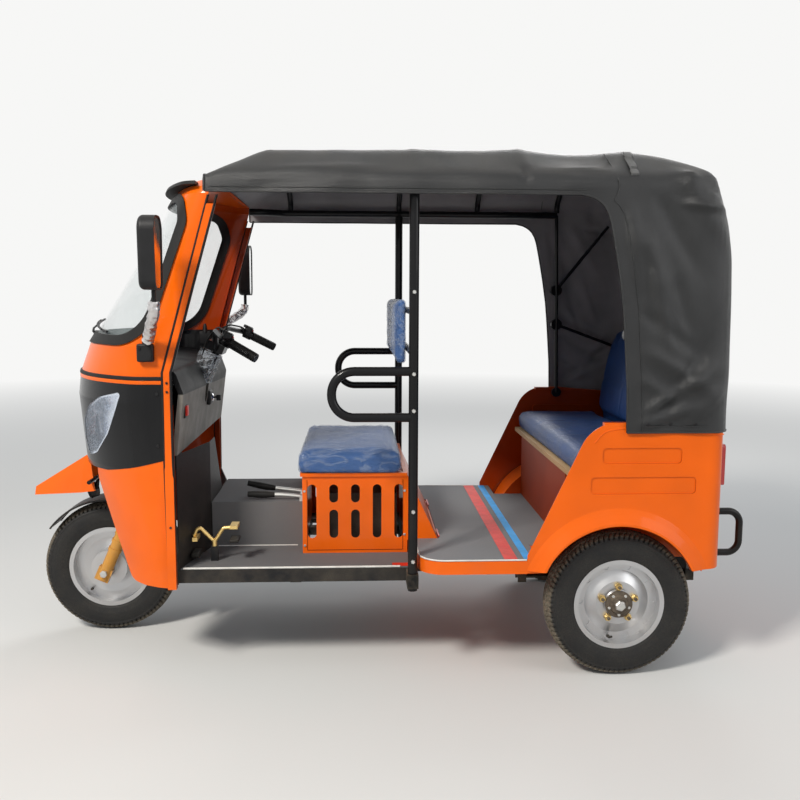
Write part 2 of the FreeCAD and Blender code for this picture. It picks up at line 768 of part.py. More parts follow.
def make_bench():
    top, t, board = dim("bench_top"), dim("skin"), dim("board")
    step, front, rear = dim("rear_floor_top"), dim("bench_front"), dim("bench_rear")
    base = new_body("bench_base")
    pad(base, "bench_box", "xz", [(front, step, 0), (front, top - board, 0),
                                  (rear, top - board, 0), (rear, step, 0)],
        "2 * Dims.bench_half", both_ways=True)
    pocket(base, "bench_room", "xz", [(front + t, step - 1, 0), (front + t, top - board - t, 0),
                                      (rear - t, top - board - t, 0), (rear - t, step - 1, 0)],
           "2 * (Dims.bench_half - Dims.skin)", both_ways=True)
    keep(base, "bench_base")
    keep(bound_box("bench_board", ("Dims.bench_front - 4", "-Dims.board_half",
                                   "Dims.bench_top - Dims.board"),
                   ("Dims.bench_rear - Dims.bench_front + 4", "2 * Dims.board_half",
                    "Dims.board")), "bench_board")
    low, high = top + dim("seat_gap"), top + 88
    side_pad("rear_cushion", [(front - 8, low, 16), (front - 10, high, 30), (1100, high, 20),
                              (1100, low, 10)], "2 * (Dims.board_half - 5)")
    side_pad("rear_backrest", [(1102, low, 0), (1102, 836, 0), (1075, 836, 10), (1093, 985, 60),
                               (1142, 1192, 60), (1180, 1240, 20), (1206, 1200, 10),
                               (1206, low, 0)], "2 * (Dims.board_half - 25)")


# Rear body


# Side outline of the rear body: x, z, corner radius.
BODY_SIDE = ((530.0, 404.0, 0.0), (530.0, 468.0, 0.0), (749.5, 938.0, 135.0),
             (905.0, 938.0, 0.0), (1222.0, 912.0, 0.0), (1230.0, 412.0, 0.0))
# Pressed recesses in each side: front, rear, low edge, high edge.
BODY_PRESSINGS = ((787.0, 1067.0, 794.0, 849.0), (748.0, 1121.0, 686.0, 746.0))
ARCH_CENTRE = (852.0, 288.0)


def rounded_plan(back, half, corner, low, high):
    """A block open to the front whose two rear corners are round in plan."""
    return plate("xy", [(-900, -half, 0), (back, -half, corner), (back, half, corner),
                        (-900, half, 0)], low, high)


def pressings(grow, deep):
    """The recesses of both sides, as tools that reach in from the outer faces."""
    half = dim("body_half")
    tools = []
    for x0, x1, z0, z1 in BODY_PRESSINGS:
        points = [(x0 - grow, z0 - grow, 14 + grow), (x1 + grow, z0 - grow, 14 + grow),
                  (x1 + grow, z1 + grow, 14 + grow), (x0 - grow, z1 + grow, 14 + grow)]
        tools.append(plate("xz", points, -half - 1, -half + deep))
    pair = tools[0].fuse(tools[1:])
    return pair.fuse(flip(pair))


def make_rear_body():
    half, t, back, round_r = dim("body_half"), dim("skin"), dim("body_back"), dim("body_corner")
    press = dim("press_depth")
    whole = side_area(BODY_SIDE).common(rounded_plan(back, half, round_r, 300, 1000))
    whole = whole.cut(pressings(0, press))
    # The inside follows the back's slope: x at the top and at the foot.
    (x1, z1), (x0, z0) = (corner[:2] for corner in BODY_SIDE[-2:])
    lean = (x0 - x1) / (z1 - z0)
    room = rounded_plan(back - t, half - t, round_r - t, 200, 1100)
    room = room.common(side_area([(-880, 200, 0), (-880, 1100, 0),
                                  (x1 - t - lean * (1100 - z1), 1100, 0),
                                  (x0 - t + lean * (z0 - 200), 200, 0)]))
    room = room.cut(pressings(t, press + t))
    shell = whole.cut(room)
    cx, cz = ARCH_CENTRE
    arch = dim("arch_radius")
    # The flared lip of the wheel arch: radius, distance out from the centre line.
    lip = ring([(arch, -0.5), (arch + 62, -0.5), (arch + 40, 8), (arch + 8, 24), (arch, 24)],
               (cx, half - 0.5, cz))
    lip = lip.common(block(531, back - round_r, 500, 700, 412, 700))
    opening = rod((cx, -700, cz), (cx, 700, cz), arch)
    shell = fused([shell, lip, flip(lip)]).cut(opening)
    rim = plate("xz", [(790, 925, 0), (905, 923, 0), (1150, 903, 0), (1150, 918, 0),
                       (905, 938, 0), (790, 938, 0)], half - 26, half - 1)
    axle, inner, middle = dim("rear_axle_x"), dim("house_inner"), 290.0
    drum = rod((axle, inner, middle), (axle, half - t + 1, middle), arch + 14)
    hollow = rod((axle, inner + t, middle), (axle, half, middle), arch + 11)
    house = drum.cut(hollow).common(block(500, back - 5, 400, half - t + 1, 404, 700))
    feature("rear_body", fused([shell, rim, flip(rim), house, flip(house)]))


def make_rear_bumper():
    """Two hoops of round bar that stand out behind the tail."""
    y, back, r = dim("hoop_y"), dim("hoop_back"), dim("hoop_radius")
    one = tube([(1200, -y, 582, 0), (back, -y, 582, 45), (back, -y, 425, 45),
                (1200, -y, 425, 0)], r)
    feature("rear_hoops", both(one.cut(side_area(BODY_SIDE))))


def make_tail_lamps():
    lamp = new_body("tail_lamp")
    pad(lamp, "lamp_block", "yz", [(-548, 700, 12), (-458, 700, 12), (-458, 850, 12),
                                   (-548, 850, 12)], "34", level="1215")
    pocket(lamp, "lamp_seat", "xz", BODY_SIDE, "4 * Dims.body_half", both_ways=True)
    feature("tail_lamps", both(lamp.Shape))


# Pillars, roof frame and canopy


def make_pillars():
    """The two posts with the bars behind the driver, and an armrest loop on each."""
    x, y, r, gap = dim("pillar_x"), dim("pillar_half"), dim("tube_radius"), dim("seat_gap")
    high = dim("rail_height")
    post = rod((x, -y, 330), (x, -y, high), r)
    post = post.cut(rod((x - 50, -y, high), (x + 50, -y, high), dim("rail_radius") + gap))
    post = max(post.Solids, key=lambda s: s.Volume)
    cross = [rod((x - 6.7, -y, z), (x - 6.7, y, z), dim("bar_radius")) for z in (1180, 1320)]
    loop = tube([(x, -y, 1113, 0), (x - 284, -y, 1113, 78), (x - 284, -y, 952, 78),
                 (x, -y, 952, 0)], dim("loop_radius"))
    loop = loop.cut(rod((x, -y, 900), (x, -y, 1200), r + gap))
    frame = fused([post, flip(post)] + cross)
    feature("cab_pillars", Part.makeCompound([frame, loop, flip(loop)]))


# The canopy's top and back from its front edge to its hem: x, z, corner radius.
CANOPY_TOP = ((-560.0, 1772.0, 0.0), (-385.0, 1872.0, 60.0), (494.0, 1898.0, 0.0),
              (865.0, 1888.0, 0.0), (1039.0, 1852.0, 150.0), (1165.0, 1790.0, 110.0),
              (1236.0, 1600.0, 300.0), (1250.0, 1250.0, 0.0), (1250.0, 905.0, 0.0))
# The curtain's front edge from the hem up to the valance.
CANOPY_EDGE = ((896.0, 905.0, 0.0), (892.0, 1062.0, 0.0), (858.0, 1397.0, 300.0),
               (800.0, 1712.0, 90.0), (-566.0, 1712.0, 0.0))
BOW_PLACES = (-370.0, 129.0, 494.0, 868.0)


def canopy_across(inset):
    """The canopy's cross-section: upright sides, sloping shoulders, a slight crown."""
    half, top = dim("canopy_half") - inset, 1898.0 - inset
    return plate("yz", [(-half, 800, 0), (-half, 1770, 40), (-470, top - 10, 70),
                        (0, top + 8, 0), (470, top - 10, 70), (half, 1770, 40),
                        (half, 800, 0)], -900, 1400)


def canopy_height(x):
    """Height of the canopy's side outline at x."""
    line = [corner[:2] for corner in CANOPY_TOP]
    for (x0, z0), (x1, z1) in zip(line, line[1:]):
        if x0 <= x <= x1:
            return z0 + (z1 - z0) * (x - x0) / (x1 - x0)
    raise ValueError("no canopy over x = %s" % x)


def make_canopy():
    t, half, back, bend = dim("cloth"), dim("canopy_half"), dim("canopy_back"), 90.0
    outer = side_area(CANOPY_TOP + CANOPY_EDGE).common(canopy_across(0))
    outer = outer.common(rounded_plan(back, half, bend, 800, 2000))
    (x0, z0), (x1, z1) = (corner[:2] for corner in CANOPY_TOP[:2])
    ahead = -900.0
    room = [(ahead, z0 + (z1 - z0) * (ahead - x0) / (x1 - x0), 0)] + list(CANOPY_TOP[1:-1])
    room += [(back, 700, 0), (ahead, 700, 0)]
    inner = grown_side(room, -t, -900.0, 900.0).common(canopy_across(t))
    inner = inner.common(rounded_plan(back - t, half - t, bend - t, 600, 2000))
    feature("canopy", outer.cut(inner))


def make_side_iron(side):
    """One side's roof rail with the hood's upright, its stays and its pivot."""
    y, r, z = side * dim("pillar_half"), dim("rail_radius"), dim("rail_height")
    thin, stay_y, end = 8.0, side * 575.0, BOW_PLACES[-1]
    front = POST_SEAM[3][0] - 0.8
    foot = Vec(890, side * 572, 915)
    bars = [tube([(front, side * 500, z, 0), (-500, side * 500, z, 60), (-400, y, z, 60),
                  (end, y, z, 0)], r),
            rod(tuple(foot), (end, y, z), thin)]
    # Stays behind the upright: start x, start z, end x, end z.
    for x0, z0, x1, z1 in ((881, 1240, 1180, 1130), (877, 1400, 1120, 1700)):
        bars.append(rod((x0, stay_y, z0), (x1, stay_y, z1), thin - 1))
        bars.append(rod((x0, side * 560, z0), (x0, side * 584, z0), 26.0))
    wall = side * (dim("body_half") - 26 - dim("seat_gap"))
    bars.append(rod((foot.x, foot.y - side * 6, foot.z), (foot.x, wall, foot.z), 22.0))
    return fused(bars)


def make_roof_frame():
    """The side irons and the four roof bows that stand on them."""
    y, z, gap, thin = dim("pillar_half"), dim("rail_height"), dim("seat_gap"), dim("bow_radius")
    solids = [make_side_iron(-1), make_side_iron(1)]
    shoulder = canopy_across(dim("cloth")).BoundBox.ZMax - 20.3
    rails = [rod((-700, side * y, z), (1000, side * y, z), dim("rail_radius") + gap)
             for side in (-1, 1)]
    for x in BOW_PLACES:
        crown = min(canopy_height(x) - dim("cloth"), shoulder) - thin - gap
        arch = tube([(x, -y, z, 0), (x, -y, 1790, 40), (x, -450, crown, 90),
                     (x, 450, crown, 90), (x, y, 1790, 40), (x, y, z, 0)], thin)
        arch = arch.cut(rails[0]).cut(rails[1])
        solids.append(max(arch.Solids, key=lambda s: s.Volume))
    feature("roof_frame", Part.makeCompound(solids))


# Mirrors and controls


# Mirrors: centre x, centre y, centre z, foot x.
MIRRORS = ((-727.0, -700.0, 1507.0, -790.0), (-600.0, 700.0, 1490.0, -770.0))


def mirror_outline(y, z, margin):
    """A mirror seen from behind: round above, narrower below."""
    wide, high = 62.0 - margin, 118.0 - margin
    return [(y - wide + 8, z - high, 30 - margin), (y + wide - 8, z - high, 30 - margin),
            (y + wide, z + high, 46 - margin), (y - wide, z + high, 46 - margin)]


def make_mirrors():
    shells, glasses = [], []
    for x, y, z, foot in MIRRORS:
        side = 1 if y > 0 else -1
        case = plate("yz", mirror_outline(y, z, 0), x - 30, x + 26)
        front = [e for e in case.Edges if e.BoundBox.XMax < x - 29]
        case = case.makeFillet(16.0, front)
        recess = plate("yz", mirror_outline(y, z, 6), x + 20, x + 27)
        stalk = tube([(x, y - side * 30, z - 110, 0), (x, y - side * 30, z - 190, 40),
                      (foot, side * 530, 1185, 0)], dim("stalk_radius"))
        clamp = block(foot - 22, foot + 22, side * 538 - 18, side * 538 + 18, 1150, 1200)
        shells.append(fused([case.cut(recess), stalk, clamp]).cut(cab_body(0)))
        glasses.append(plate("yz", mirror_outline(y, z, 7), x + 20, x + 23))
    feature("mirrors", Part.makeCompound(shells))
    feature("mirror_glass", Part.makeCompound(glasses))


def make_controls():
    """The rocking gear pedal, the brake rod below the floor and the two hand levers."""
    x, y, stand = dim("pedal_x"), dim("pedal_y"), dim("floor_top") + dim("pedal_stand")
    hub = (x, y, stand + 15)
    front = tube([(x - 75, y, stand + 39, 0), (x - 57, y, stand + 75, 12), hub + (0,)], 7.0)
    rear = tube([hub + (0,), (x + 33, y, stand + 67, 12), (x + 83, y, stand + 70, 0)], 7.0)
    post = rod((x, y, stand), (x, y, stand + 25), 9.0)
    pads = [block(x - 75, x - 57, y - 32, y + 32, stand + 25, stand + 39),
            block(x + 61, x + 89, y - 32, y + 32, stand + 70, stand + 82)]
    low, rod_y = 322.0, y - 2
    brake = tube([(100, rod_y, low, 0), (-395, rod_y, low, 12), (-395, rod_y, low + 38, 10),
                  (-395, rod_y + 22, low + 38, 0)], 4.0)
    feature("foot_controls", Part.makeCompound([fused([front, rear, post] + pads), brake]))
    box, top = dim("box_front"), dim("tunnel_top") + dim("mat")
    hold = block(box - 18, box, -215, -80, top, top + 20)
    levers = []
    # Levers: y, x and height of the bend, x and height of the end.
    for lever_y, bend_x, bend_z, end_x, end_z in ((-100, -400, 28, -500, 48),
                                                  (-190, -360, 21, -490, 24)):
        levers.append(tube([(box - 9, lever_y, top + 14, 0), (bend_x, lever_y, top + bend_z, 200),
                            (end_x, lever_y, top + end_z, 0)], 8.0))
    feature("hand_levers", fused(levers + [hold]))


# Axle and springs


def make_axle():
    """The live axle with its drums, and the propeller shaft to the engine."""
    x, z, y = dim("rear_axle_x"), dim("tyre_outer"), dim("track_half")
    inner = y - dim("hub_inner") - 6
    beam = rod((x, -440, z), (x, 440, z), dim("axle_radius"))
    case = Part.makeSphere(88.0, Vec(x, 0, z)).common(block(x - 80, x + 80, -60, 60, 0, 600))
    pieces = [beam, case, rod((x - 130, 0, z), (x, 0, z), 40.0),
              rod((93, 0, 312), (x - 120, 0, z), 20.0)]
    for side in (-1, 1):
        pieces.append(rod((x, side * 425, z), (x, side * inner, z), 95.0))
        pieces.append(rod((x, side * inner, z), (x, side * (y + 24), z), dim("rear_spindle")))
    feature("rear_axle", fused(pieces))
    clear = rod((x, -450, z), (x, 450, z), dim("axle_radius") + dim("seat_gap"))
    springs = []
    for side in (-1, 1):
        at, reach = side * dim("rail_half"), dim("spring_half")
        leaves = [block(x - half, x + half, at - 22, at + 22, z + 44 - drop, z + 52 - drop)
                  for half, drop in ((reach + 8, 0), (reach - 62, 8), (reach - 132, 16))]
        leaves.append(block(x - 40, x + 40, at - 26, at + 26, z - 34, z + 40))
        for eye in (x - reach, x + reach):
            leaves.append(rod((eye, at - 24, z + 48), (eye, at + 24, z + 48), 15.0))
        springs.append(fused(leaves).cut(clear))
    feature("leaf_springs", Part.makeCompound(springs))


# Steering


def steer_origin():
    angle = math.radians(dim("rake"))
    offset = dim("fork_offset")
    return Vec(dim("front_axle_x") + offset * math.cos(angle), 0,
               dim("tyre_outer") - offset * math.sin(angle))


def steer_point(x, y, z):
    """A point given in the steering's own frame, whose Z is the steering axis."""
    angle = math.radians(dim("rake"))
    base = steer_origin()
    return (base.x + x * math.cos(angle) + z * math.sin(angle), base.y + y,
            base.z - x * math.sin(angle) + z * math.cos(angle))


def steer_placement():
    return FreeCAD.Placement(steer_origin(), FreeCAD.Rotation(Vec(0, 1, 0), dim("rake")))


def make_fork(place):
    off, half, r = -dim("fork_offset"), dim("fork_half"), dim("fork_leg")
    stem = rod((0, 0, 380), (0, 0, 1010), dim("stem_radius"))
    nut = rod((0, 0, 1021), (0, 0, 1034), 20.0)
    stem_top = rod((0, 0, 1009), (0, 0, 1022), 10.0)
    crown = plate("xy", [(off - 30, -half - 30, 26), (30, -60, 20), (30, 60, 20),
                         (off - 30, half + 30, 26)], 375, 400)
    legs = []
    for side in (-1, 1):
        legs.append(rod((off, side * half, 200), (off, side * half, 404), r))
        legs.append(rod((off, side * half, 352), (off, side * half, 376), r + 6))
    axle = rod((off, -half - 22, 0), (off, half + 22, 0), dim("front_spindle"))
    feature("front_fork", Part.makeCompound([fused([stem, stem_top, nut, crown] + legs), axle]),
            place)


def make_shocks(place):
    off, half, r = -dim("fork_offset"), dim("fork_half"), dim("fork_leg") + 4
    hole = rod((off, -half - 40, 0), (off, half + 40, 0), dim("front_spindle") + dim("seat_gap"))
    shocks = []
    for side in (-1, 1):
        y = side * half
        body = rod((off, y, -30), (off, y, 200 - dim("seat_gap")), r)
        collars = [rod((off, y, z), (off, y, z + 12), r + 3) for z in (96, 132, 168)]
        foot = block(off - 30, off + 26, y - 14, y + 14, -36, 20)
        shocks.append(fused([body, foot] + collars).cut(hole))
    feature("shock_absorbers", Part.makeCompound(shocks), place)


def make_handlebar(place):
    high, r, grip = 1073.0, dim("bar_tube"), dim("bar_tube") + 6
    bar = tube([(180, -352, high - 11, 0), (40, -305, high, 50), (-16, -150, high, 60),
                (0, -50, 1000, 30), (0, 50, 1000, 30), (-16, 150, high, 60),
                (40, 305, high, 50), (180, 352, high - 11, 0)], r)
    clear = dim("stem_radius") + dim("seat_gap")
    stem = rod((0, 0, 900), (0, 0, 1010 + dim("seat_gap")), clear)
    neck = rod((0, 0, 1005), (0, 0, 1021.2), 10.0 + dim("seat_gap"))
    head = block(-38, 32, -55, 55, 985, 1020)
    extras = []
    for side in (-1, 1):
        extras.append(rod((75, side * 316.8, high - 2.7), (185, side * 353.7, high - 11.4), grip))
        extras.append(rod((44, side * 306.4, high - 0.3), (75, side * 316.8, high - 2.7), grip + 5))
        extras.append(tube([(60, side * 312, high - 2, 0), (49, side * 344, high - 2, 12),
                            (153, side * 379, high - 9, 0)], 5.5))
    feature("handlebar", fused([bar, head] + extras).cut(stem).cut(neck), place)


def make_mudguard(place):
    off, inner = -dim("fork_offset"), dim("tyre_outer") + dim("guard_gap")
    t, half = 4.0, dim("guard_half")
    turned_in = inner - 3
    guard = ring([(turned_in, -half), (turned_in, -half + t), (inner, -half + t),
                  (inner, half - t), (turned_in, half - t), (turned_in, half),
                  (inner + t, half), (inner + t, -half)], (off, 0, 0))
    guard = guard.common(block(off - 400, off + 400, -90, 90, 60, 400))
    stay = block(off - 20, off + 20, -half + 2, half - 2, inner + 1, 375 - dim("seat_gap"))
    stay = stay.cut(block(off - 21, off + 21, -half + 18, half - 18, 200, 365))
    feature("front_mudguard", fused([guard, stay]), place)


# Wheels


def tyre_section():
    """The tyre's closed section: radius, offset, corner radius."""
    outer, seat, half = dim("tyre_outer"), dim("bead_seat") + dim("seat_gap"), dim("tyre_width") / 2
    bead, edge = half - 16, half - 3
    return [(seat, -bead, 0), (seat, bead, 0), (outer - 15, edge, 0), (outer, 0, 0),
            (outer - 15, -edge, 0)]


def rim_section(bore, hub_r, hub_in, hub_out, dish):
    """Hub, dished disc and barrel in one section; the offset grows outwards."""
    seat, flange, half, t = dim("bead_seat"), dim("rim_flange"), dim("rim_width") / 2, 4.0
    well, disc = seat - t, dim("disc_face")
    return [(bore, -hub_in, 0), (hub_r, -hub_in, 0), (hub_r, disc + dish - 8, 0),
            (hub_r + 32, disc + dish - 8, 0), (116, disc - 8, 0), (well, disc - 8, 0),
            (well, -half, 0), (flange, -half, 0), (flange, -half + 3, 0), (seat, -half + 6, 0),
            (seat, half - 6, 0), (flange, half - 3, 0), (flange, half, 0), (well, half, 0),
            (well, disc, 0), (118, disc, 0), (hub_r + 34, disc + dish, 0),
            (hub_r + 4, disc + dish, 0), (hub_r, hub_out, 0), (bore, hub_out, 0)]


def set_wheel(body, x, y, side):
    """Stand a wheel made about its own Z axis on its axle; Z points outwards."""
    body.Placement = FreeCAD.Placement(Vec(), FreeCAD.Rotation(Vec(1, 0, 0), -90 * side))
    for axis, text in zip("xyz", (x, y, "Dims.tyre_outer")):
        body.setExpression("Placement.Base." + axis, text)
    doc.recompute()


def make_wheel(name, x, y, side, section, dimples):
    tyre = new_body(name + "_tyre")
    turned(tyre, name + "_tyre_ring", tyre_section())
    set_wheel(tyre, x, y, side)
    keep(tyre, name + "_tyre")
    rim = new_body(name + "_rim")
    turned(rim, name + "_disc", section)
    if dimples:
        near, far, wide = 123.0, 143.0, 9.0
        dimple = pocket(rim, name + "_dimple", "xy", [(near, -wide, 8), (far, -wide, 8),
                                                      (far, wide, 8), (near, wide, 8)],
                        "3", level="Dims.disc_face")
        around(rim, name + "_dimples", dimple, "Dims.dimples")
    set_wheel(rim, x, y, side)
    keep(rim, name + "_rim")


def make_wheels():
    gap, half = dim("run_gap"), dim("front_hub_half")
    front = rim_section(dim("front_spindle") + gap, 30.0, half, half, 6.0)
    # The front brake drum stands on the hub, inboard of the disc.
    front[1:4] = [(30.0, -half, 0), (30.0, -58.0, 0), (72.0, -58.0, 0), (72.0, 0.0, 0)]
    rear = rim_section(dim("rear_spindle") + gap, 46.0, dim("hub_inner"), 34.0, 20.0)
    make_wheel("front", "Dims.front_axle_x", "0", 1, front, False)
    make_wheel("rear_left", "Dims.rear_axle_x", "-Dims.track_half", -1, rear, True)
    make_wheel("rear_right", "Dims.rear_axle_x", "Dims.track_half", 1, rear, True)


make_cab()
make_windscreen()
make_lamps()
make_wing_and_horn()
make_dash()
make_chassis()
make_front_floor()
make_front_mat()
make_rear_floor()
make_seat_box()
make_driver_seat()
make_engine()
make_bench()
make_rear_body()
make_rear_bumper()
make_tail_lamps()
make_pillars()
make_roof_frame()
make_canopy()
make_mirrors()
make_controls()
make_axle()
steering = steer_placement()
make_fork(steering)
make_shocks(steering)
make_handlebar(steering)
make_mudguard(steering)
make_wheels()
doc.recompute()

for node in NODES:
    states = node.State
    if "Invalid" in states or "Error" in states:
        raise RuntimeError("%s did not compute: %s" % (node.Label, states))
    if node.Shape.isNull() or not node.Shape.isValid():
        raise RuntimeError("%s has no valid shape" % node.Label)
    node.Shape.exportStep("parts/%s.step" % node.Label)
    print("%-20s solids %d volume %.0f" % (node.Label, len(node.Shape.Solids), node.Shape.Volume))
print("nodes", len(NODES))
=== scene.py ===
# %% [markdown]
# An auto rickshaw is a light three-wheeled taxi: a painted sheet-steel cab, a black tube
# frame, a coated cloth hood and a bench for two or three. Its construction is already built
# to size, so this lesson loads it as a fixed frame and adds what the eye judges: paint,
# rubber, glass, cloth and the small hardware.

# %% Load the frame
import math

import bmesh
import bpy
import numpy as np
from mathutils import Matrix, Vector, noise


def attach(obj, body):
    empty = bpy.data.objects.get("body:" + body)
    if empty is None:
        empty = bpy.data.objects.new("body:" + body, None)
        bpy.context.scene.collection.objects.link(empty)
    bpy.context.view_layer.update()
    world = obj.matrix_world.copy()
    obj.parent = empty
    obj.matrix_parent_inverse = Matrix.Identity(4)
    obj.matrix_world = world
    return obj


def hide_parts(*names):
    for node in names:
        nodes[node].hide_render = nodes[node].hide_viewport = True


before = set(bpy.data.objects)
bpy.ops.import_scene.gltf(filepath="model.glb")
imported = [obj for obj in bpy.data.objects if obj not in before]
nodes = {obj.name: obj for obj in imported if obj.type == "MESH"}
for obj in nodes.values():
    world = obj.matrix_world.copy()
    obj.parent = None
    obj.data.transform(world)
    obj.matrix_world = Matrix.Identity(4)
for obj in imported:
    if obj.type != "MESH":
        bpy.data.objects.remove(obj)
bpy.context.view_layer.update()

# %% [markdown]
# Most pieces come as a left and a right one, and the wheels' places are needed for their
# rubber, their tread, their nuts and the steering. Such measures are named once, in metres.

# %% Shared measures
SIDES = (-1, 1)
TYRE_OUTER = 0.2675
REAR_AXLE_X = 0.8775
FRONT_AXLE_X = -1.077
WHEELBASE = REAR_AXLE_X - FRONT_AXLE_X
TRACK_HALF = 0.5188
print("wheelbase:", round(WHEELBASE, 4), "m")

# %% [markdown]
# The camera comes first, because every later choice is judged through it. The photograph was
# taken from the vehicle's left at a standing person's eye height, a little ahead of the
# middle, with the lens tipped down. Turning the camera by three plain rotations (heading,
# pitch, roll) keeps each number readable, which a look-at target would hide.

# %% Camera
CAMERA_AT = (-0.0666, -3.5666, 1.374)
CAMERA_HEADING = -2.826
CAMERA_PITCH = 83.18
CAMERA_ROLL = 0.21
CAMERA_LENS = 39.32
SENSOR = 36.0


def placed(name, data):
    """A new object with this data, put in the scene."""
    made = bpy.data.objects.new(name, data)
    bpy.context.scene.collection.objects.link(made)
    return made


def make_camera():
    """The photograph's viewpoint, in the frame's own metres."""
    camera = placed("camera", bpy.data.cameras.new("camera"))
    camera.data.lens = CAMERA_LENS
    camera.data.sensor_width = SENSOR
    camera.rotation_mode = "QUATERNION"
    turn = (Matrix.Rotation(math.radians(CAMERA_HEADING), 4, "Z")
            @ Matrix.Rotation(math.radians(CAMERA_PITCH), 4, "X")
            @ Matrix.Rotation(math.radians(CAMERA_ROLL), 4, "Z"))
    camera.rotation_quaternion = turn.to_quaternion()
    camera.location = CAMERA_AT
    bpy.context.scene.camera = camera
    return camera


camera = make_camera()
print("camera: lens", round(camera.data.lens, 1), "mm")

# %% [markdown]
# A material in Blender is a graph of nodes. Adding nodes one by one hides the idea behind
# them, so one small class wraps a socket: plus, minus and times on it add Math nodes, and one
# method adds any other node.

# %% Shader arithmetic


class Wire:
    """One output of a material's graph, with arithmetic that adds Math nodes."""

    def __init__(self, tree, socket=None):
        self.tree = tree
        self.socket = socket

    def node(self, kind, inputs=None, out=0, stops=None, **settings):
        made = self.tree.nodes.new("ShaderNode" + kind)
        for name, value in settings.items():
            setattr(made, name, value)
        if stops:
            ramp = made.color_ramp.elements
            ramp.remove(ramp[1])
            ramp[0].position, ramp[0].color = stops[0]
            for at, colour in stops[1:]:
                ramp.new(at).color = colour
        for name, value in (inputs or {}).items():
            if isinstance(value, Wire):
                self.tree.links.new(value.socket, made.inputs[name])
            else:
                made.inputs[name].default_value = value
        return Wire(self.tree, made.outputs[out] if len(made.outputs) else None)

    def maths(self, operation, first, second=0.0, clamp=False):
        return self.node("Math", {0: first, 1: second}, operation=operation, use_clamp=clamp)

    def __add__(self, other):
        return self.maths("ADD", self, other)

    def __sub__(self, other):
        return self.maths("SUBTRACT", self, other)

    def __rsub__(self, other):
        return self.maths("SUBTRACT", other, self)

    def __mul__(self, other):
        return self.maths("MULTIPLY", self, other)

    def __pow__(self, other):
        return self.maths("POWER", self, other)

    __radd__ = __add__
    __rmul__ = __mul__

    def kept(self):
        """The value held between 0 and 1."""
        return self.maths("ADD", self, 0.0, clamp=True)

    def wave(self):
        return self.maths("SINE", self)

    def size(self):
        return self.maths("ABSOLUTE", self)


print("socket arithmetic ready")

# %% [markdown]
# The rest of a shader comes from a few ideas that return in every finish: where a point is,
# which way it faces, smooth noise, a step, a blend of two colours, and a bump.

# %% Shader helpers


def blank(name):
    """An empty material and the start of its graph."""
    material = bpy.data.materials.new(name)
    material.use_nodes = True
    material.node_tree.nodes.clear()
    return material, Wire(material.node_tree)


def place(start):
    """The point on the piece, in metres, in the frame's own axes."""
    return start.node("TexCoord", out="Object")


def parts_of(point):
    """The x, y and z of a vector as three wires."""
    split = point.node("SeparateXYZ", {0: point})
    return [Wire(point.tree, split.socket.node.outputs[axis]) for axis in "XYZ"]


def facing(start):
    """The x, y and z of the way a face looks."""
    return parts_of(start.node("NewGeometry", out="Normal"))


def cloud(point, scale, detail=3.0, rough=0.55):
    """Smooth noise about 0.5, with features 1/scale metres across."""
    return point.node("TexNoise", {"Vector": point, "Scale": scale, "Detail": detail,
                                   "Roughness": rough})


def pebbles(point, scale, **settings):
    """A pattern of cells 1/scale metres across, for moulded and leathered grain."""
    return point.node("TexVoronoi", {"Vector": point, "Scale": scale}, **settings)


def ribbed(across, ribs):
    """A wave along one direction, with so many ribs to the metre."""
    return (across * (2 * math.pi * ribs)).wave()


def step_up(wire, low, high):
    """0 below low, 1 above high, straight between."""
    return wire.node("MapRange", {"Value": wire, "From Min": low, "From Max": high}, clamp=True)


def blend_colour(factor, first, second):
    """A colour between two, each a wire or four numbers."""
    return factor.node("Mix", {0: factor, 6: first, 7: second}, out=2, data_type="RGBA")


def bump(height, depth, strength=1.0, under=None):
    """A normal from a height of 0 to 1 that stands for depth metres."""
    inputs = {"Height": height, "Distance": depth, "Strength": strength}
    if under is not None:
        inputs["Normal"] = under
    return height.node("Bump", inputs)


def shade(material, start, sockets):
    """The Principled shader with these sockets, as the material's surface."""
    shader = start.node("BsdfPrincipled", sockets)
    start.node("OutputMaterial", {"Surface": shader})
    return material


def rgb(red, green, blue):
    return (red, green, blue, 1.0)


def tinted(colour, share):
    """The same colour, darker for a share below 1 and lighter above it."""
    return rgb(*(share * channel for channel in colour[:3]))


BLACK = rgb(0.008, 0.008, 0.009)
print("shader helpers ready")

# %% [markdown]
# The vehicle stands on a dry dirt yard, so a thin film of pale dust lies on what faces up and
# on everything near the wheels. One function gives that mask, and each paint uses it, which
# ties the finishes together better than separate dirt on each.

# %% Dust
DUST = rgb(0.46, 0.37, 0.26)
DUST_TOP = 0.75
DUST_FOOT = 0.15


def dust_mask(start, amount):
    """How dusty a point is: more where it is low, and where it faces up."""
    point = place(start)
    height = parts_of(point)[2]
    low = step_up(height, DUST_TOP, DUST_FOOT)
    upward = step_up(facing(start)[2], 0.55, 1.0)
    patchy = step_up(cloud(point, 9.0, 5.0, 0.65), 0.35, 0.75)
    grain = step_up(cloud(point, 260.0, 2.0), 0.3, 0.7)
    return ((low * 0.75 + upward * 0.35) * patchy * (0.55 + 0.45 * grain) * amount).kept()


print("dust lies up to", DUST_TOP, "m")

# %% [markdown]
# The steel is sprayed enamel: one orange for the body, gloss black for the nose, and a duller
# black on the tubes. Sprayed paint is never flat, so each has a fine orange peel and a slow
# change of tone. The cab's skins are one thickness in the frame, so their inner faces are told
# by the way they look, and get an orange darkened as painted shade, and the black lining behind
# the dash. A second dark orange is painted shade too, on the bench's base and on some beads.

# %% Paints
LINING_FOOT = 0.99
LINING_TOP = 1.216
LINING_FADE = 0.004
NO_LINING = 9.0
PEEL_DEPTH = 0.00008


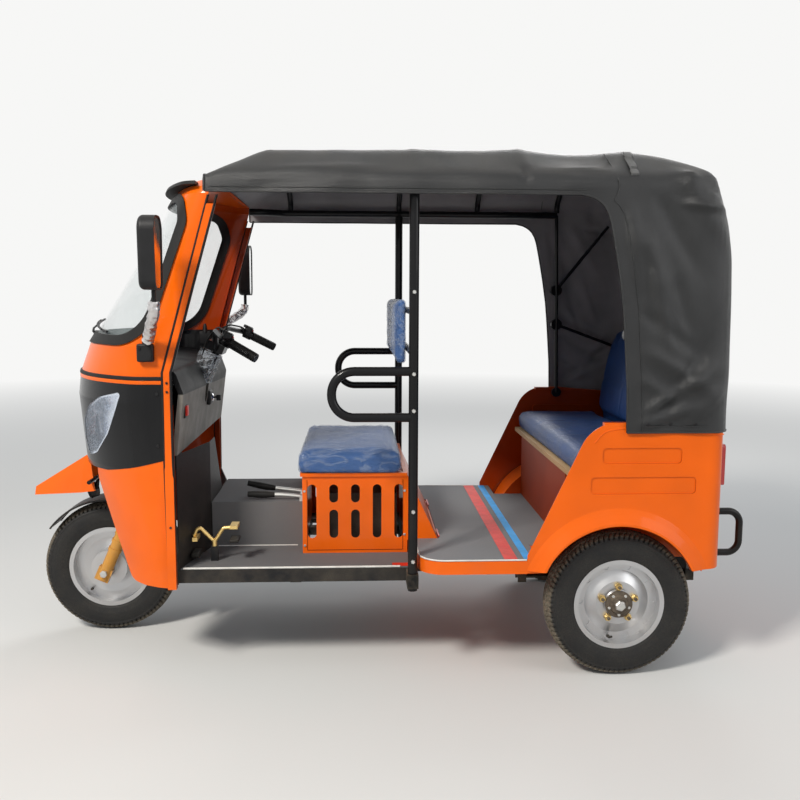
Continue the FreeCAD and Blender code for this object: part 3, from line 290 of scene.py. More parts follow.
def inward_faces(start, middle_x):
    """1 on faces that look towards an upright line on the centre plane, 0 elsewhere."""
    x, y, _ = parts_of(place(start))
    nx, ny, _ = facing(start)
    return step_up((x - middle_x) * nx + y * ny, 0.02, -0.02)


def paint(name, colour, rough=0.3, coat=0.2, dust=0.12, metal=0.0, inside=None):
    """Sprayed enamel: faint orange peel, slight unevenness of colour, dust low down."""
    material, start = blank(name)
    point = place(start)
    mask = dust_mask(start, dust)
    uneven = step_up(cloud(point, 3.5, 2.0), 0.35, 0.65)
    body = blend_colour(uneven, colour, tinted(colour, 0.86))
    # Inward faces take an orange darkened as painted shade, and the black lining between two
    # heights.
    if inside is not None:
        middle_x, painted_shade, foot = inside
        height = parts_of(point)[2]
        lined = (step_up(height, foot, foot + LINING_FADE)
                 * step_up(height, LINING_TOP, LINING_TOP - LINING_FADE))
        inner = blend_colour(lined, painted_shade, BLACK)
        body = blend_colour(inward_faces(start, middle_x), body, inner)
    skin = cloud(point, 330.0, 1.0)
    long_wave = cloud(point, 14.0, 1.0)
    return shade(material, start, {
        "Base Color": blend_colour(mask, body, DUST),
        "Roughness": rough + 0.5 * mask,
        "Metallic": metal,
        "Coat Weight": coat * (1.0 - mask),
        "Coat Roughness": 0.05,
        "Specular IOR Level": 0.12,
        "Normal": bump(long_wave, 0.0012, 0.25, under=bump(skin, PEEL_DEPTH)),
    })


ORANGE = rgb(0.90, 0.135, 0.003)
# The body's orange darkened as painted shade, for the inward faces of the cab and the tub.
ORANGE_PAINTED_SHADE = rgb(0.36, 0.040, 0.002)
orange_paint = paint("orange_paint", ORANGE)
# A darker orange that is painted shade, for the bench's base and the beads on the seat box and
# round the wheel house.
orange_painted_shade = paint("orange_painted_shade", rgb(0.24, 0.028, 0.002), rough=0.5, coat=0.03,
                      dust=0.05)
# The cab and the tub paint their inward faces in painted shade.
cab_orange = paint("cab_orange", ORANGE, inside=(-0.45, ORANGE_PAINTED_SHADE, LINING_FOOT))
tub_orange = paint("tub_orange", ORANGE, inside=(0.90, ORANGE_PAINTED_SHADE, NO_LINING))
black_gloss = paint("black_gloss", BLACK, rough=0.22, dust=0.1)
frame_black = paint("frame_black", rgb(0.006, 0.006, 0.007), rough=0.3, dust=0.15)
chassis_black = paint("chassis_black", rgb(0.010, 0.010, 0.010), rough=0.55, coat=0.05,
                      dust=0.7)
wheel_silver = paint("wheel_silver", rgb(0.56, 0.565, 0.58), rough=0.30, coat=0.3, dust=0.35,
                     metal=0.85)
gold_paint = paint("gold_paint", rgb(0.62, 0.27, 0.02), rough=0.35, coat=0.7, dust=0.6)
print("paints:", len(bpy.data.materials))

# %% [markdown]
# Plastic and rubber take the grain of their mould, which breaks up their shine. A pattern of
# small cells gives it. The floor mats have ribs along the vehicle with trodden dust between
# them, and the tyres have clean walls but hold sand in their tread, which is told by the
# distance from the axle.

# %% Plastics and rubber
TREAD_STARTS = TYRE_OUTER - 0.020
TREAD_FULL = TYRE_OUTER - 0.013
DASH_SHELF = 1.010
MOULD_DEPTH = 0.00015


def moulded(name, colour, rough, grain=900.0, dust=0.5):
    """Moulded plastic or rubber with a fine leathered grain."""
    material, start = blank(name)
    point = place(start)
    mask = dust_mask(start, dust)
    uneven = step_up(cloud(point, 20.0), 0.3, 0.7)
    tone = blend_colour(uneven, colour, tinted(colour, 1.35))
    return shade(material, start, {
        "Base Color": blend_colour(mask, tone, DUST),
        "Roughness": rough + 0.1 * cloud(point, 60.0) + 0.3 * mask,
        "Specular IOR Level": 0.25,
        "Normal": bump(pebbles(point, grain), MOULD_DEPTH),
    })


black_plastic = moulded("black_plastic", BLACK, 0.42, dust=0.3)
black_rubber = moulded("black_rubber", rgb(0.007, 0.007, 0.007), 0.55, dust=0.25)
grip_rubber = moulded("grip_rubber", rgb(0.007, 0.007, 0.007), 0.5, dust=0.1)
red_plastic = moulded("red_plastic", rgb(0.55, 0.02, 0.012), 0.3, dust=0.1)
white_trim = moulded("white_trim", rgb(0.62, 0.61, 0.58), 0.45, dust=0.5)


def mat_rubber(name, colour, ribs):
    """Floor mat rubber: fine ribs along the vehicle, trodden dust between them."""
    material, start = blank(name)
    point = place(start)
    rib = step_up(ribbed(parts_of(point)[1], ribs), -0.3, 0.5)
    trodden = 0.55 + 0.45 * step_up(cloud(point, 16.0, 6.0, 0.75), 0.3, 0.8)
    grain = step_up(cloud(point, 400.0, 2.0), 0.35, 0.65)
    mask = (trodden * (0.35 + 0.4 * grain) * (1.15 - 0.5 * rib)).kept()
    return shade(material, start, {
        "Base Color": blend_colour(mask * 0.20, colour, DUST),
        "Roughness": 0.62 + 0.25 * mask,
        "Specular IOR Level": 0.25,
        "Normal": bump(rib, 0.0009, 0.8),
    })


front_mat_rubber = mat_rubber("front_mat_rubber", rgb(0.125, 0.130, 0.142), 160.0)
rear_mat_rubber = mat_rubber("rear_mat_rubber", rgb(0.180, 0.188, 0.205), 200.0)


def tyre_compound():
    """Clean black walls, and sand held in the tread."""
    material, start = blank("tyre_rubber")
    point = place(start)
    x, _, z = parts_of(point)
    front = step_up(x, 0.1, -0.1)
    along = x - (REAR_AXLE_X - WHEELBASE * front)
    up = z - TYRE_OUTER
    tread = step_up((along * along + up * up) ** 0.5, TREAD_STARTS, TREAD_FULL)
    patchy = step_up(cloud(point, 14.0, 5.0, 0.7), 0.30, 0.70)
    grain = step_up(cloud(point, 220.0, 2.0), 0.3, 0.7)
    sand = (tread * (0.22 + 0.40 * patchy * grain) + 0.07 * patchy * grain).kept()
    return shade(material, start, {
        "Base Color": blend_colour(sand, rgb(0.0125, 0.0125, 0.0130), rgb(0.34, 0.28, 0.20)),
        "Roughness": 0.55 + 0.3 * sand,
        "Specular IOR Level": 0.3,
        "Normal": bump(cloud(point, 500.0, 2.0), 0.0002),
    })


def dash_plastic():
    """Grey moulding below, black above the line where the shelf turns back."""
    material, start = blank("dash_plastic")
    point = place(start)
    _, y, z = parts_of(point)
    upper = step_up(z + 0.03 * y, DASH_SHELF, DASH_SHELF + 0.004)
    worn = step_up(cloud(point, 9.0, 4.0, 0.6), 0.35, 0.7)
    grey = blend_colour(worn, rgb(0.19, 0.175, 0.155), rgb(0.13, 0.118, 0.102))
    return shade(material, start, {
        "Base Color": blend_colour(upper, grey, BLACK),
        "Roughness": 0.42 + 0.1 * worn,
        "Specular IOR Level": 0.1,
        "Normal": bump(pebbles(point, 700.0), 0.00012),
    })


tyre_rubber = tyre_compound()
dash_grey = dash_plastic()
print("materials:", len(bpy.data.materials))

# %% [markdown]
# Plated steel is a metal with a faint cloudiness, and dust on it stops it being one, so the
# dust mask lowers Metallic too. Glass this thin bends no light that the eye would miss, so it
# is a mostly clear surface with a coat for its reflection, which also renders fast.

# %% Metals and glass
PLY = 0.004


def plated(name, colour, rough, dust=0.3):
    """Bright plated steel with faint cloudiness."""
    material, start = blank(name)
    point = place(start)
    mask = dust_mask(start, dust)
    dull = cloud(point, 45.0, 4.0)
    return shade(material, start, {
        "Base Color": blend_colour(mask, colour, DUST),
        "Roughness": rough + 0.2 * dull + 0.3 * mask,
        "Metallic": 1.0 - mask,
        "Normal": bump(cloud(point, 700.0, 2.0), 0.00005),
    })


def glazing(name, colour, alpha):
    """Thin glass: mostly clear, with a reflection on it and a little dust."""
    material, start = blank(name)
    point = place(start)
    film = step_up(cloud(point, 7.0, 4.0), 0.45, 0.8)
    return shade(material, start, {
        "Base Color": colour,
        "Roughness": 0.02 + 0.05 * film,
        "Alpha": (alpha + 0.05 * film).kept(),
        "Coat Weight": 0.5,
        "Coat Roughness": 0.01,
    })


chrome = plated("chrome", rgb(0.82, 0.82, 0.84), 0.06, dust=0.1)
zinc = plated("zinc", rgb(0.62, 0.62, 0.60), 0.28)
brass_zinc = plated("brass_zinc", rgb(0.78, 0.56, 0.22), 0.3)
cast_dark = plated("cast_dark", rgb(0.10, 0.085, 0.075), 0.5, dust=0.9)
mirror_face = plated("mirror_face", rgb(0.9, 0.91, 0.92), 0.0, dust=0.0)
screen_glass = glazing("screen_glass", rgb(0.62, 0.72, 0.74), 0.13)
lamp_glass = glazing("lamp_glass", rgb(0.62, 0.70, 0.84), 0.13)
lamp_silver = plated("lamp_silver", rgb(0.86, 0.89, 0.95), 0.16, dust=0.0)


def tail_lens():
    """Red moulded lens with upright flutes."""
    material, start = blank("tail_lens")
    flute = ribbed(parts_of(place(start))[1], 180.0)
    return shade(material, start, {
        "Base Color": rgb(0.5, 0.008, 0.006),
        "Roughness": 0.12,
        "Coat Weight": 1.0,
        "Normal": bump(flute, 0.0008, 0.6),
    })


def plywood():
    """Birch ply: long grain across the vehicle, darker glue lines on its edge."""
    material, start = blank("plywood")
    x, y, z = parts_of(place(start))
    along = start.node("CombineXYZ", {0: x * 60.0, 1: y * 3.0, 2: z * 60.0})
    grain = cloud(along, 1.0, 4.0, 0.6)
    plies = step_up(ribbed(z, 1 / PLY), 0.2, 0.7)
    edge = 1.0 - step_up(facing(start)[2].size(), 0.3, 0.6)
    wood = blend_colour(step_up(grain, 0.3, 0.7), rgb(0.60, 0.41, 0.22), rgb(0.42, 0.26, 0.12))
    return shade(material, start, {
        "Base Color": blend_colour(plies * edge * 0.6, wood, rgb(0.2, 0.11, 0.05)),
        "Roughness": 0.6 + 0.15 * grain,
        "Normal": bump(grain, 0.0004, 0.5),
    })


tail_red = tail_lens()
bare_ply = plywood()
print("materials:", len(bpy.data.materials))

# %% [markdown]
# Four soft materials share one idea: a fine regular relief under a slow change of colour. The
# hood is coated cloth with a leather grain outside and a woven grey backing inside, the seats
# are navy leatherette, and the seats still wear their clear delivery film, whose creases are
# painted pale as highlights; the bench's film is a darker copy, as painted shade under the
# hood.

# %% Cloth, leatherette and film


def leathered(name, colour, rough, grain, depth, coat=0.0, dust=0.25, spec=0.3):
    """Coated cloth: cells of grain with creases between them."""
    material, start = blank(name)
    point = place(start)
    mask = dust_mask(start, dust)
    creases = pebbles(point, grain, feature="DISTANCE_TO_EDGE")
    fine = cloud(point, grain * 2.2, 2.0)
    relief = step_up(creases, 0.0, 0.35) * 0.7 + 0.3 * fine
    worn = step_up(cloud(point, 5.0, 5.0, 0.6), 0.35, 0.75)
    tone = blend_colour(worn, colour, tinted(colour, 1.6))
    return shade(material, start, {
        "Base Color": blend_colour(mask, tone, DUST),
        "Roughness": rough + 0.12 * worn + 0.3 * mask,
        "Coat Weight": coat,
        "Coat Roughness": 0.2,
        "Specular IOR Level": spec,
        "Normal": bump(relief, depth),
    })


def woven(name, colour, pitch):
    """Plain weave: threads one way and the other in turn."""
    material, start = blank(name)
    point = place(start)
    x, y, z = parts_of(point)
    mask = dust_mask(start, 0.2)
    turn = math.pi / pitch
    warp = ((x + z) * turn).wave().size()
    weft = ((y + z * 0.5) * turn).wave().size()
    uneven = step_up(cloud(point, 4.0, 4.0), 0.3, 0.7)
    tone = blend_colour(uneven, colour, tinted(colour, 0.75))
    return shade(material, start, {
        "Base Color": blend_colour(mask, tone, DUST),
        "Roughness": 0.82,
        "Sheen Weight": 0.2,
        "Normal": bump(warp * weft, 0.0003),
    })


def crumpled_film(name, tint, veil, shine, coat):
    """Clear film: nearly nothing face on, pale and more opaque along its creases as painted
    highlights.
    """
    material, start = blank(name)
    point = place(start)
    x, y, z = parts_of(point)
    drift = cloud(point, 6.0, 2.0) * 0.30
    drawn = start.node("CombineXYZ", {0: x * 5.0 + drift * 8.0, 1: y * 26.0 + drift * 14.0,
                                      2: z * 22.0})
    ridge = 1.0 - (cloud(drawn, 1.0, 4.0, 0.6) * 2.0 - 1.0).size()
    sharp = step_up(ridge, 0.88, 1.0)
    small = 1.0 - (cloud(point, 60.0, 3.0, 0.65) * 2.0 - 1.0).size()
    relief = ridge * 0.65 + small * 0.25 + sharp * 0.1
    return shade(material, start, {
        # Pale colour along the creases, with more alpha there, is a painted highlight.
        "Base Color": blend_colour(sharp * 0.6, tint, rgb(0.52, 0.58, 0.68)),
        "Roughness": 0.12,
        "Alpha": (veil + shine * sharp + 0.05 * small).kept(),
        "Coat Weight": coat,
        "Coat Roughness": 0.08,
        "Specular IOR Level": 0.2,
        "Normal": bump(relief, 0.006),
    })


hood_cloth = leathered("hood_cloth", rgb(0.0115, 0.0118, 0.0125), 0.30, 430.0, 0.00045,
                       spec=0.42)
hood_lining = woven("hood_lining", rgb(0.24, 0.228, 0.238), 0.0016)
navy_leatherette = leathered("navy_leatherette", rgb(0.016, 0.046, 0.150), 0.36, 620.0,
                             0.0002, coat=0.08, dust=0.05, spec=0.16)
webbing = woven("webbing", rgb(0.10, 0.10, 0.10), 0.0022)
clear_film = crumpled_film("clear_film", rgb(0.17, 0.31, 0.62), 0.22, 0.10, 0.04)
# The bench's film is a darker copy with less veil, as painted shade under the hood.
bench_wrap_painted_shade = crumpled_film("bench_wrap_painted_shade", rgb(0.15, 0.22, 0.38), 0.03, 0.12, 0.05)
# The loom's film is nearly clear, with its creases painted pale as highlights.
cable_wrap = crumpled_film("cable_wrap", rgb(0.80, 0.84, 0.90), 0.02, 0.40, 0.3)
hub_dark = plated("hub_dark", rgb(0.055, 0.045, 0.04), 0.45, dust=0.8)
print("materials:", len(bpy.data.materials))

# %% [markdown]
# Every node of the frame is a real piece, so each takes its own finish before anything new is
# made. A table of each finish and its nodes does it, and the loop stops if one is forgotten.

# %% Finishes of the frame's nodes
FINISHES = (
    (cab_orange, "cab_shell leg_shields"),
    (tub_orange, "rear_body"),
    (orange_paint, "front_wing rear_floor seat_box"),
    # The bench's base takes the orange darkened as painted shade.
    (orange_painted_shade, "bench_base"),
    (black_gloss, "nose_panel horn"),
    (frame_black, "rear_hoops cab_pillars roof_frame front_fork handlebar"),
    (chassis_black, "chassis_frame leaf_springs"),
    (gold_paint, "shock_absorbers"),
    (wheel_silver, "front_rim rear_left_rim rear_right_rim"),
    (tyre_rubber, "front_tyre rear_left_tyre rear_right_tyre"),
    (black_rubber, "screen_trim canopy"),
    (black_plastic, "front_floor mirrors front_mudguard driver_cushion driver_backrest"),
    (black_plastic, "rear_cushion rear_backrest"),
    (front_mat_rubber, "front_mat"),
    (rear_mat_rubber, "rear_mat"),
    (dash_grey, "dash_panel"),
    (screen_glass, "windscreen"),
    (lamp_glass, "headlamp_lenses"),
    (lamp_silver, "headlamp_bowls"),
    (mirror_face, "mirror_glass"),
    (tail_red, "tail_lamps"),
    (cast_dark, "engine_block rear_axle"),
    (brass_zinc, "foot_controls"),
    (zinc, "hand_levers"),
    (bare_ply, "bench_board"),
)


def dress(piece, material):
    """Give a piece one material in place of what it had."""
    piece.data.materials.clear()
    piece.data.materials.append(material)


def smooth(piece, angle=35.0):
    """Shade smooth, with edges sharper than the angle left crisp."""
    mesh = piece.data
    mesh.polygons.foreach_set("use_smooth", [True] * len(mesh.polygons))
    mesh.set_sharp_from_angle(angle=math.radians(angle))


finish_of = {name: material for material, names in FINISHES for name in names.split()}
for name, piece in nodes.items():
    dress(piece, finish_of[name])
    smooth(piece)
print("finished", len(finish_of), "nodes")

# %% [markdown]
# New pieces are built as plain arrays of points first. A grid of points becomes quads, a
# profile turned about a line becomes a grid, and a path becomes a tube, so a few short
# functions make nearly everything that follows.

# %% Grids, turnings and tubes


def rise(value, start, run):
    """0 before start, 1 once the run is over, straight between; a run below 0 falls."""
    return np.clip((value - start) / run, 0.0, 1.0)


def full_turn(steps):
    """Angles evenly round a circle."""
    return np.linspace(0.0, 2 * math.pi, steps, endpoint=False)


def grid(points, wrap_rows=False, wrap_columns=False):
    """Quads over rows by columns of points, as (points, faces)."""
    points = np.asarray(points, dtype=float)
    rows, columns = points.shape[:2]
    faces = []
    for i in range(rows if wrap_rows else rows - 1):
        for j in range(columns if wrap_columns else columns - 1):
            i2, j2 = (i + 1) % rows, (j + 1) % columns
            faces.append((i * columns + j, i * columns + j2, i2 * columns + j2,
                          i2 * columns + j))
    return points.reshape(-1, 3), faces


def capped(shape, sides):
    """A grid of rings, each of so many points, closed at both ends."""
    points, faces = shape
    last = len(points) - 1
    return points, faces + [tuple(range(sides)), tuple(range(last, last - sides, -1))]


def turned(profile, segments, centre, outward=1.0):
    """Turn a closed (radius, offset) profile about a line along Y through centre."""
    profile = np.asarray(profile, dtype=float)
    turn = full_turn(segments)
    radius, offset = profile[:, 0], profile[:, 1] * outward
    points = np.empty((segments, len(profile), 3))
    points[..., 0] = centre[0] + np.cos(turn)[:, None] * radius
    points[..., 1] = centre[1] + offset
    points[..., 2] = centre[2] + np.sin(turn)[:, None] * radius
    return grid(points, wrap_rows=True, wrap_columns=True)


def rounded_path(corners, bend, step=0.01):
    """Points along straight runs whose corners are rounded."""
    corners = [Vector(c) for c in corners]
    path = [corners[0]]
    for before, here, after in zip(corners, corners[1:], corners[2:]):
        back, ahead = (before - here), (after - here)
        reach = min(bend, back.length * 0.45, ahead.length * 0.45)
        start, end = here + back.normalized() * reach, here + ahead.normalized() * reach
        for t in np.linspace(0.0, 1.0, max(3, int(reach * 2 / step))):
            path.append(start * (1 - t) ** 2 + here * (2 * t * (1 - t)) + end * t ** 2)
    path.append(corners[-1])
    return path


def ring_about(centre, side, other, radius, steps):
    """Points on a circle in the plane of two unit vectors."""
    return [centre + (side * math.cos(a) + other * math.sin(a)) * radius
            for a in full_turn(steps)]


def tube(path, radius, sides):
    """A capped tube along a path; radius is one number or one per point."""
    path = [Vector(p) for p in path]
    radii = radius if hasattr(radius, "__len__") else [radius] * len(path)
    side = (path[1] - path[0]).orthogonal().normalized()
    rings = []
    for i, here in enumerate(path):
        ahead = (path[min(i + 1, len(path) - 1)] - path[max(i - 1, 0)]).normalized()
        side = (side - ahead * side.dot(ahead)).normalized()
        rings.append(ring_about(here, side, ahead.cross(side), radii[i], sides))
    return capped(grid(rings, wrap_columns=True), sides)


print("grids, turnings and tubes ready")

# %% [markdown]
# Boxes with rounded edges come from the modelling tools, because a bevel is easier asked for
# than worked out. Every piece then passes through one function that makes its mesh, turns its
# faces outwards, gives it its finish and says which body it rides on.

# %% Boxes, bolts and whole pieces


def rounded_box(centre, size, radius, turn=None, segments=3):
    """A box with rounded edges; turn is an optional rotation about its centre."""
    mesh = bmesh.new()
    bmesh.ops.create_cube(mesh, size=1.0)
    bmesh.ops.scale(mesh, vec=size, verts=mesh.verts)
    bmesh.ops.bevel(mesh, geom=list(mesh.edges), offset=radius, segments=segments,
                    profile=0.5, affect="EDGES")
    if turn is not None:
        bmesh.ops.rotate(mesh, verts=mesh.verts, matrix=turn)
    bmesh.ops.translate(mesh, verts=mesh.verts, vec=centre)
    mesh.verts.index_update()
    points = np.array([v.co for v in mesh.verts])
    faces = [tuple(v.index for v in f.verts) for f in mesh.faces]
    mesh.free()
    return points, faces


def hexagon(centre, axis, across, high):
    """A nut or bolt head with a chamfered top, standing on centre along axis."""
    axis = Vector(axis).normalized()
    side = axis.orthogonal().normalized()
    other = axis.cross(side)
    radius = across / math.sqrt(3)
    steps = ((0.0, 0.9), (0.001, 1.0), (high * 0.8, 1.0), (high, 0.82), (high, 0.02))
    rings = [ring_about(Vector(centre) + axis * up, side, other, radius * share, 6)
             for up, share in steps]
    return grid(rings, wrap_columns=True)


def together(parts):
    """Several (points, faces) as one."""
    points, faces, first = [], [], 0
    for part_points, part_faces in parts:
        points.append(np.asarray(part_points, dtype=float))
        faces += [tuple(first + i for i in face) for face in part_faces]
        first += len(part_points)
    return np.concatenate(points), faces


def both_sides(parts_on):
    """The parts that a function makes for the left side and for the right, as one."""
    return together([part for side in SIDES for part in parts_on(side)])


def show(name, shape, material, body="chassis", angle=35.0):
    """Make a piece of (points, faces), finish it and let it ride on a body."""
    mesh = bpy.data.meshes.new(name)
    points, faces = shape
    mesh.from_pydata([tuple(p) for p in points], [], faces)
    tidy = bmesh.new()
    tidy.from_mesh(mesh)
    bmesh.ops.recalc_face_normals(tidy, faces=tidy.faces)
    tidy.to_mesh(mesh)
    tidy.free()
    piece = placed(name, mesh)
    mesh.materials.append(material)
    smooth(piece, angle)
    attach(piece, body)
    return piece


print("boxes, bolts and pieces ready")

# %% [markdown]
# Tyres carry the vehicle and the eye goes to them at once. The frame's tyre is a plain ring,
# so each is replaced by one grid: a real cross-ply section, round in the shoulder, turned in
# 480 steps, with the tread cut by moving its points inwards. One rule in angle and offset
# gives the ribs, the zigzag grooves and the shoulder lugs.

# %% Tyres
# Half of the section from the bead to the crown: radius, offset.
TYRE_SECTION = ((0.1530, 0.0300), (0.1545, 0.0350), (0.1620, 0.0395), (0.1760, 0.0450),
                (0.1960, 0.0497), (0.2160, 0.0505), (0.2330, 0.0480), (0.2440, 0.0462),
                (0.2500, 0.0455), (0.2545, 0.0430), (0.2590, 0.0370), (0.2625, 0.0290),
                (0.2650, 0.0205), (0.2665, 0.0120), (0.2672, 0.0055), (TYRE_OUTER, 0.0))
SECTION_POINTS = 132
TYRE_STEPS = 480
TREAD_PITCHES = 84
TREAD_DEPTH = 0.0072
TREAD_EDGE = 0.2430


def dense_section(rows):
    """The section with points about 2.5 mm apart, bead to bead."""
    half = np.array(rows)
    whole = np.concatenate([half, half[-2::-1] * (1.0, -1.0)])
    run = np.concatenate([[0.0], np.cumsum(np.linalg.norm(np.diff(whole, axis=0), axis=1))])
    at = np.linspace(0.0, run[-1], SECTION_POINTS)
    smooth_run = np.stack([np.interp(at, run, whole[:, k]) for k in (0, 1)], axis=1)
    for _ in range(2):
        smooth_run[1:-1] = (smooth_run[:-2] + 2 * smooth_run[1:-1] + smooth_run[2:]) / 4
    return smooth_run


def channel(value, at, wide, floor=1.6):
    """1 on a line at a value, 0 away from it; a higher floor makes it flatter below."""
    return np.clip(floor - np.abs(value - at) / wide, 0.0, 1.0)


def tread_depth(turn, offset, radius):
    """How far the tread is cut at an angle and offset, in metres."""
    phase = turn * TREAD_PITCHES / (2 * math.pi)
    off = np.abs(offset)
    sway = 0.0022 * np.sin(2 * math.pi * phase)
    rib = off + sway * np.where(offset > 0, 1.0, -1.0)
    grooves = np.maximum(channel(rib, 0.0095, 0.0020), channel(rib, 0.0250, 0.0024))
    lugs = channel((phase + offset * 22.0) % 1.0, 0.5, 0.12) * rise(off, 0.026, 0.002)
    sipes = channel((phase * 2 + 0.25) % 1.0, 0.5, 0.07, 1.3) * 0.5
    on_ribs = np.maximum(channel(off, 0.017, 0.005, 1.0), rise(off, 0.008, -0.001))
    cut = np.maximum.reduce([grooves, lugs, sipes * on_ribs])
    return TREAD_DEPTH * rise(radius, TREAD_EDGE, 0.003) * cut


def sidewall_ring(radius):
    """Low rings moulded on the sidewall."""
    rings = 0.0
    for at, wide, high in ((0.1745, 0.0010, 0.0012), (0.2250, 0.0010, 0.0009),
                           (0.2385, 0.0012, 0.0012)):
        rings = rings + high * np.exp(-((radius - at) / wide) ** 2)
    return rings


def make_tyre(name, x, y, body):
    section = dense_section(TYRE_SECTION)
    turn = full_turn(TYRE_STEPS)[:, None]
    radius, offset = section[:, 0][None, :], section[:, 1][None, :]
    cut = tread_depth(turn, offset, radius)
    run = np.gradient(section, axis=0)
    run = run / np.linalg.norm(run, axis=1, keepdims=True)
    # The section runs from the bead on the positive side over the crown to the other bead.
    out = radius - cut * np.abs(run[:, 1])[None, :]
    width = offset - cut * np.sign(offset) * np.abs(run[:, 0])[None, :]
    width = width + np.sign(offset) * sidewall_ring(radius)
    points = np.stack([x + np.cos(turn) * out, y + width + 0 * turn,
                       TYRE_OUTER + np.sin(turn) * out], axis=-1)
    shape = grid(points, wrap_rows=True, wrap_columns=True)
    tyre = show(name + "_tread", shape, tyre_rubber, body, angle=50.0)
    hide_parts(name)


WHEELS = (("front_tyre", FRONT_AXLE_X, 0.0, "front_wheel"),
          ("rear_left_tyre", REAR_AXLE_X, -TRACK_HALF, "rear_wheel_left"),
          ("rear_right_tyre", REAR_AXLE_X, TRACK_HALF, "rear_wheel_right"))
for name, x, y, body in WHEELS:
    make_tyre(name, x, y, body)
print("tyres:", len(WHEELS))

# %% [markdown]
# The wheels are pressed steel discs. What the eye reads on them is small: the lug nuts, the
# dark hub in the middle, the valve and the curled edge of the rim.

# %% Wheel hardware
FIFTHS = range(0, 360, 72)
LUG_CIRCLE = 0.063
HUB_CIRCLE = 0.038


def spoke_point(x, y, radius, angle, out):
    """A point on a wheel: radius and angle about the axle, out along Y."""
    turn = math.radians(angle)
    return (x + radius * math.cos(turn), y + out, TYRE_OUTER + radius * math.sin(turn))


def valve(x, y, angle, side):
    """A rubber valve that leans out of the rim on one side."""
    return tube([spoke_point(x, y, radius, angle, side * out) for radius, out in
                 ((0.1355, 0.004), (0.1335, 0.018), (0.128, 0.030), (0.1235, 0.040))],
                [0.0060, 0.0050, 0.0042, 0.0042], 14)


def make_rear_hardware(side, name, body):
    """Lug nuts on their studs, hub face with its centre nut, and the valve."""
    x, y = REAR_AXLE_X, side * TRACK_HALF
    axis = (0, side, 0)
    nuts = [hexagon(spoke_point(x, y, LUG_CIRCLE, 90 + turn, side * 0.0235), axis, 0.023, 0.018)
            for turn in FIFTHS]
    show(name + "_lug_nuts", together(nuts), brass_zinc, body)
    studs = [tube([spoke_point(x, y, LUG_CIRCLE, 90 + turn, side * out)
                   for out in (0.022, 0.048, 0.0495)], [0.006, 0.006, 0.0045], 12)
             for turn in FIFTHS]
    hub = turned([(0.003, 0.0345), (0.0475, 0.0345), (0.0500, 0.0360), (0.0500, 0.0400),
                  (0.036, 0.043), (0.032, 0.049), (0.003, 0.049)], 48,
                 (x, y, TYRE_OUTER), side)
    show(name + "_hub", together([hub] + studs), hub_dark, body)
    centre = hexagon(spoke_point(x, y, 0.0, 0, side * 0.048), axis, 0.034, 0.016)
    bolts = [hexagon(spoke_point(x, y, HUB_CIRCLE, 54 + turn, side * 0.040), axis, 0.010, 0.006)
             for turn in FIFTHS]
    show(name + "_hub_nut", together([centre] + bolts), zinc, body)
    show(name + "_valve", valve(x, y, 259, side), black_rubber, body)


def make_front_hardware():
    """The axle nuts of the front wheel, which sit on the fork, and its valve."""
    nuts = [hexagon((FRONT_AXLE_X, side * 0.1345, TYRE_OUTER), (0, side, 0), 0.026, 0.012)
            for side in SIDES]
    show("front_axle_nuts", together(nuts), zinc, "steering")
    show("front_valve", valve(FRONT_AXLE_X, 0.0, 230, -1), black_rubber, "front_wheel")


make_rear_hardware(-1, "rear_left", "rear_wheel_left")
make_rear_hardware(1, "rear_right", "rear_wheel_right")
make_front_hardware()
print("wheel hardware made")

# %% [markdown]
# The hood is one sheet of leather-grained cloth with a grey backing, pulled over four bows and
# turned down behind as curtains. Modelling it as roof, sides and back would show their joins,
# so one grid of points covers all of it: its columns run round from the left front, past the
# rear corners, to the right front, and its rows climb from the hem to the middle of the roof.
# Each point is found by walking along a ray to a smoothly rounded outline, and then moved a
# little by the sag between the bows, the pull of the fastenings and the wind.

# %% The hood's outline
HOOD_HALF = 0.619
HOOD_BACK = 1.250
HOOD_CORNER = 0.090
HOOD_HEM = 0.905
VALANCE_HEM = 1.712
# The roof from front to back, the fall behind it, and the shoulder from the side to the middle.
HOOD_ROOF = ((-0.560, 1.772), (-0.385, 1.872), (0.494, 1.898), (0.865, 1.888),
             (1.039, 1.852), (1.165, 1.790))
HOOD_REAR = (HOOD_ROOF[-1], (1.236, 1.600), (HOOD_BACK, 1.250), (HOOD_BACK, HOOD_HEM))
HOOD_SHOULDER = ((HOOD_HALF, 1.770), (0.470, 1.888), (0.0, 1.906))
HOOD_BOWS = (-0.370, 0.129, 0.494, 0.868)
SOFTNESS = 0.009


def beyond(line, across, up):
    """Softened distance outside the planes of a convex outline's runs."""
    total = 0.0
    for (a0, z0), (a1, z1) in zip(line, line[1:]):
        length = math.hypot(a1 - a0, z1 - z0)
        normal = (-(z1 - z0) / length, (a1 - a0) / length)
        if normal[1] < -1e-6:
            normal = (-normal[0], -normal[1])
        gap = (across - a0) * normal[0] + (up - z0) * normal[1]
        # Far from the plane the power would overflow, so the gap is held.
        total = total + np.exp(np.clip(gap, -0.6, 0.6) / SOFTNESS)
    return SOFTNESS * np.log(total)


def hood_gap(x, y, z):
    """Below 0 inside the hood's form, above 0 outside it."""
    roof = beyond(HOOD_ROOF, x, z)
    back = beyond(HOOD_REAR, x, z)
    shoulder = beyond(HOOD_SHOULDER, np.abs(y), z)
    side = np.abs(y) - HOOD_HALF
    r = HOOD_CORNER
    corner = np.where((back > -r) & (side > -r), np.hypot(back + r, side + r) - r,
                      np.maximum(back, side))
    peak = np.maximum.reduce([roof, corner, shoulder])
    spread = sum(np.exp((part - peak) / SOFTNESS) for part in (roof, corner, shoulder))
    return peak + SOFTNESS * np.log(spread)


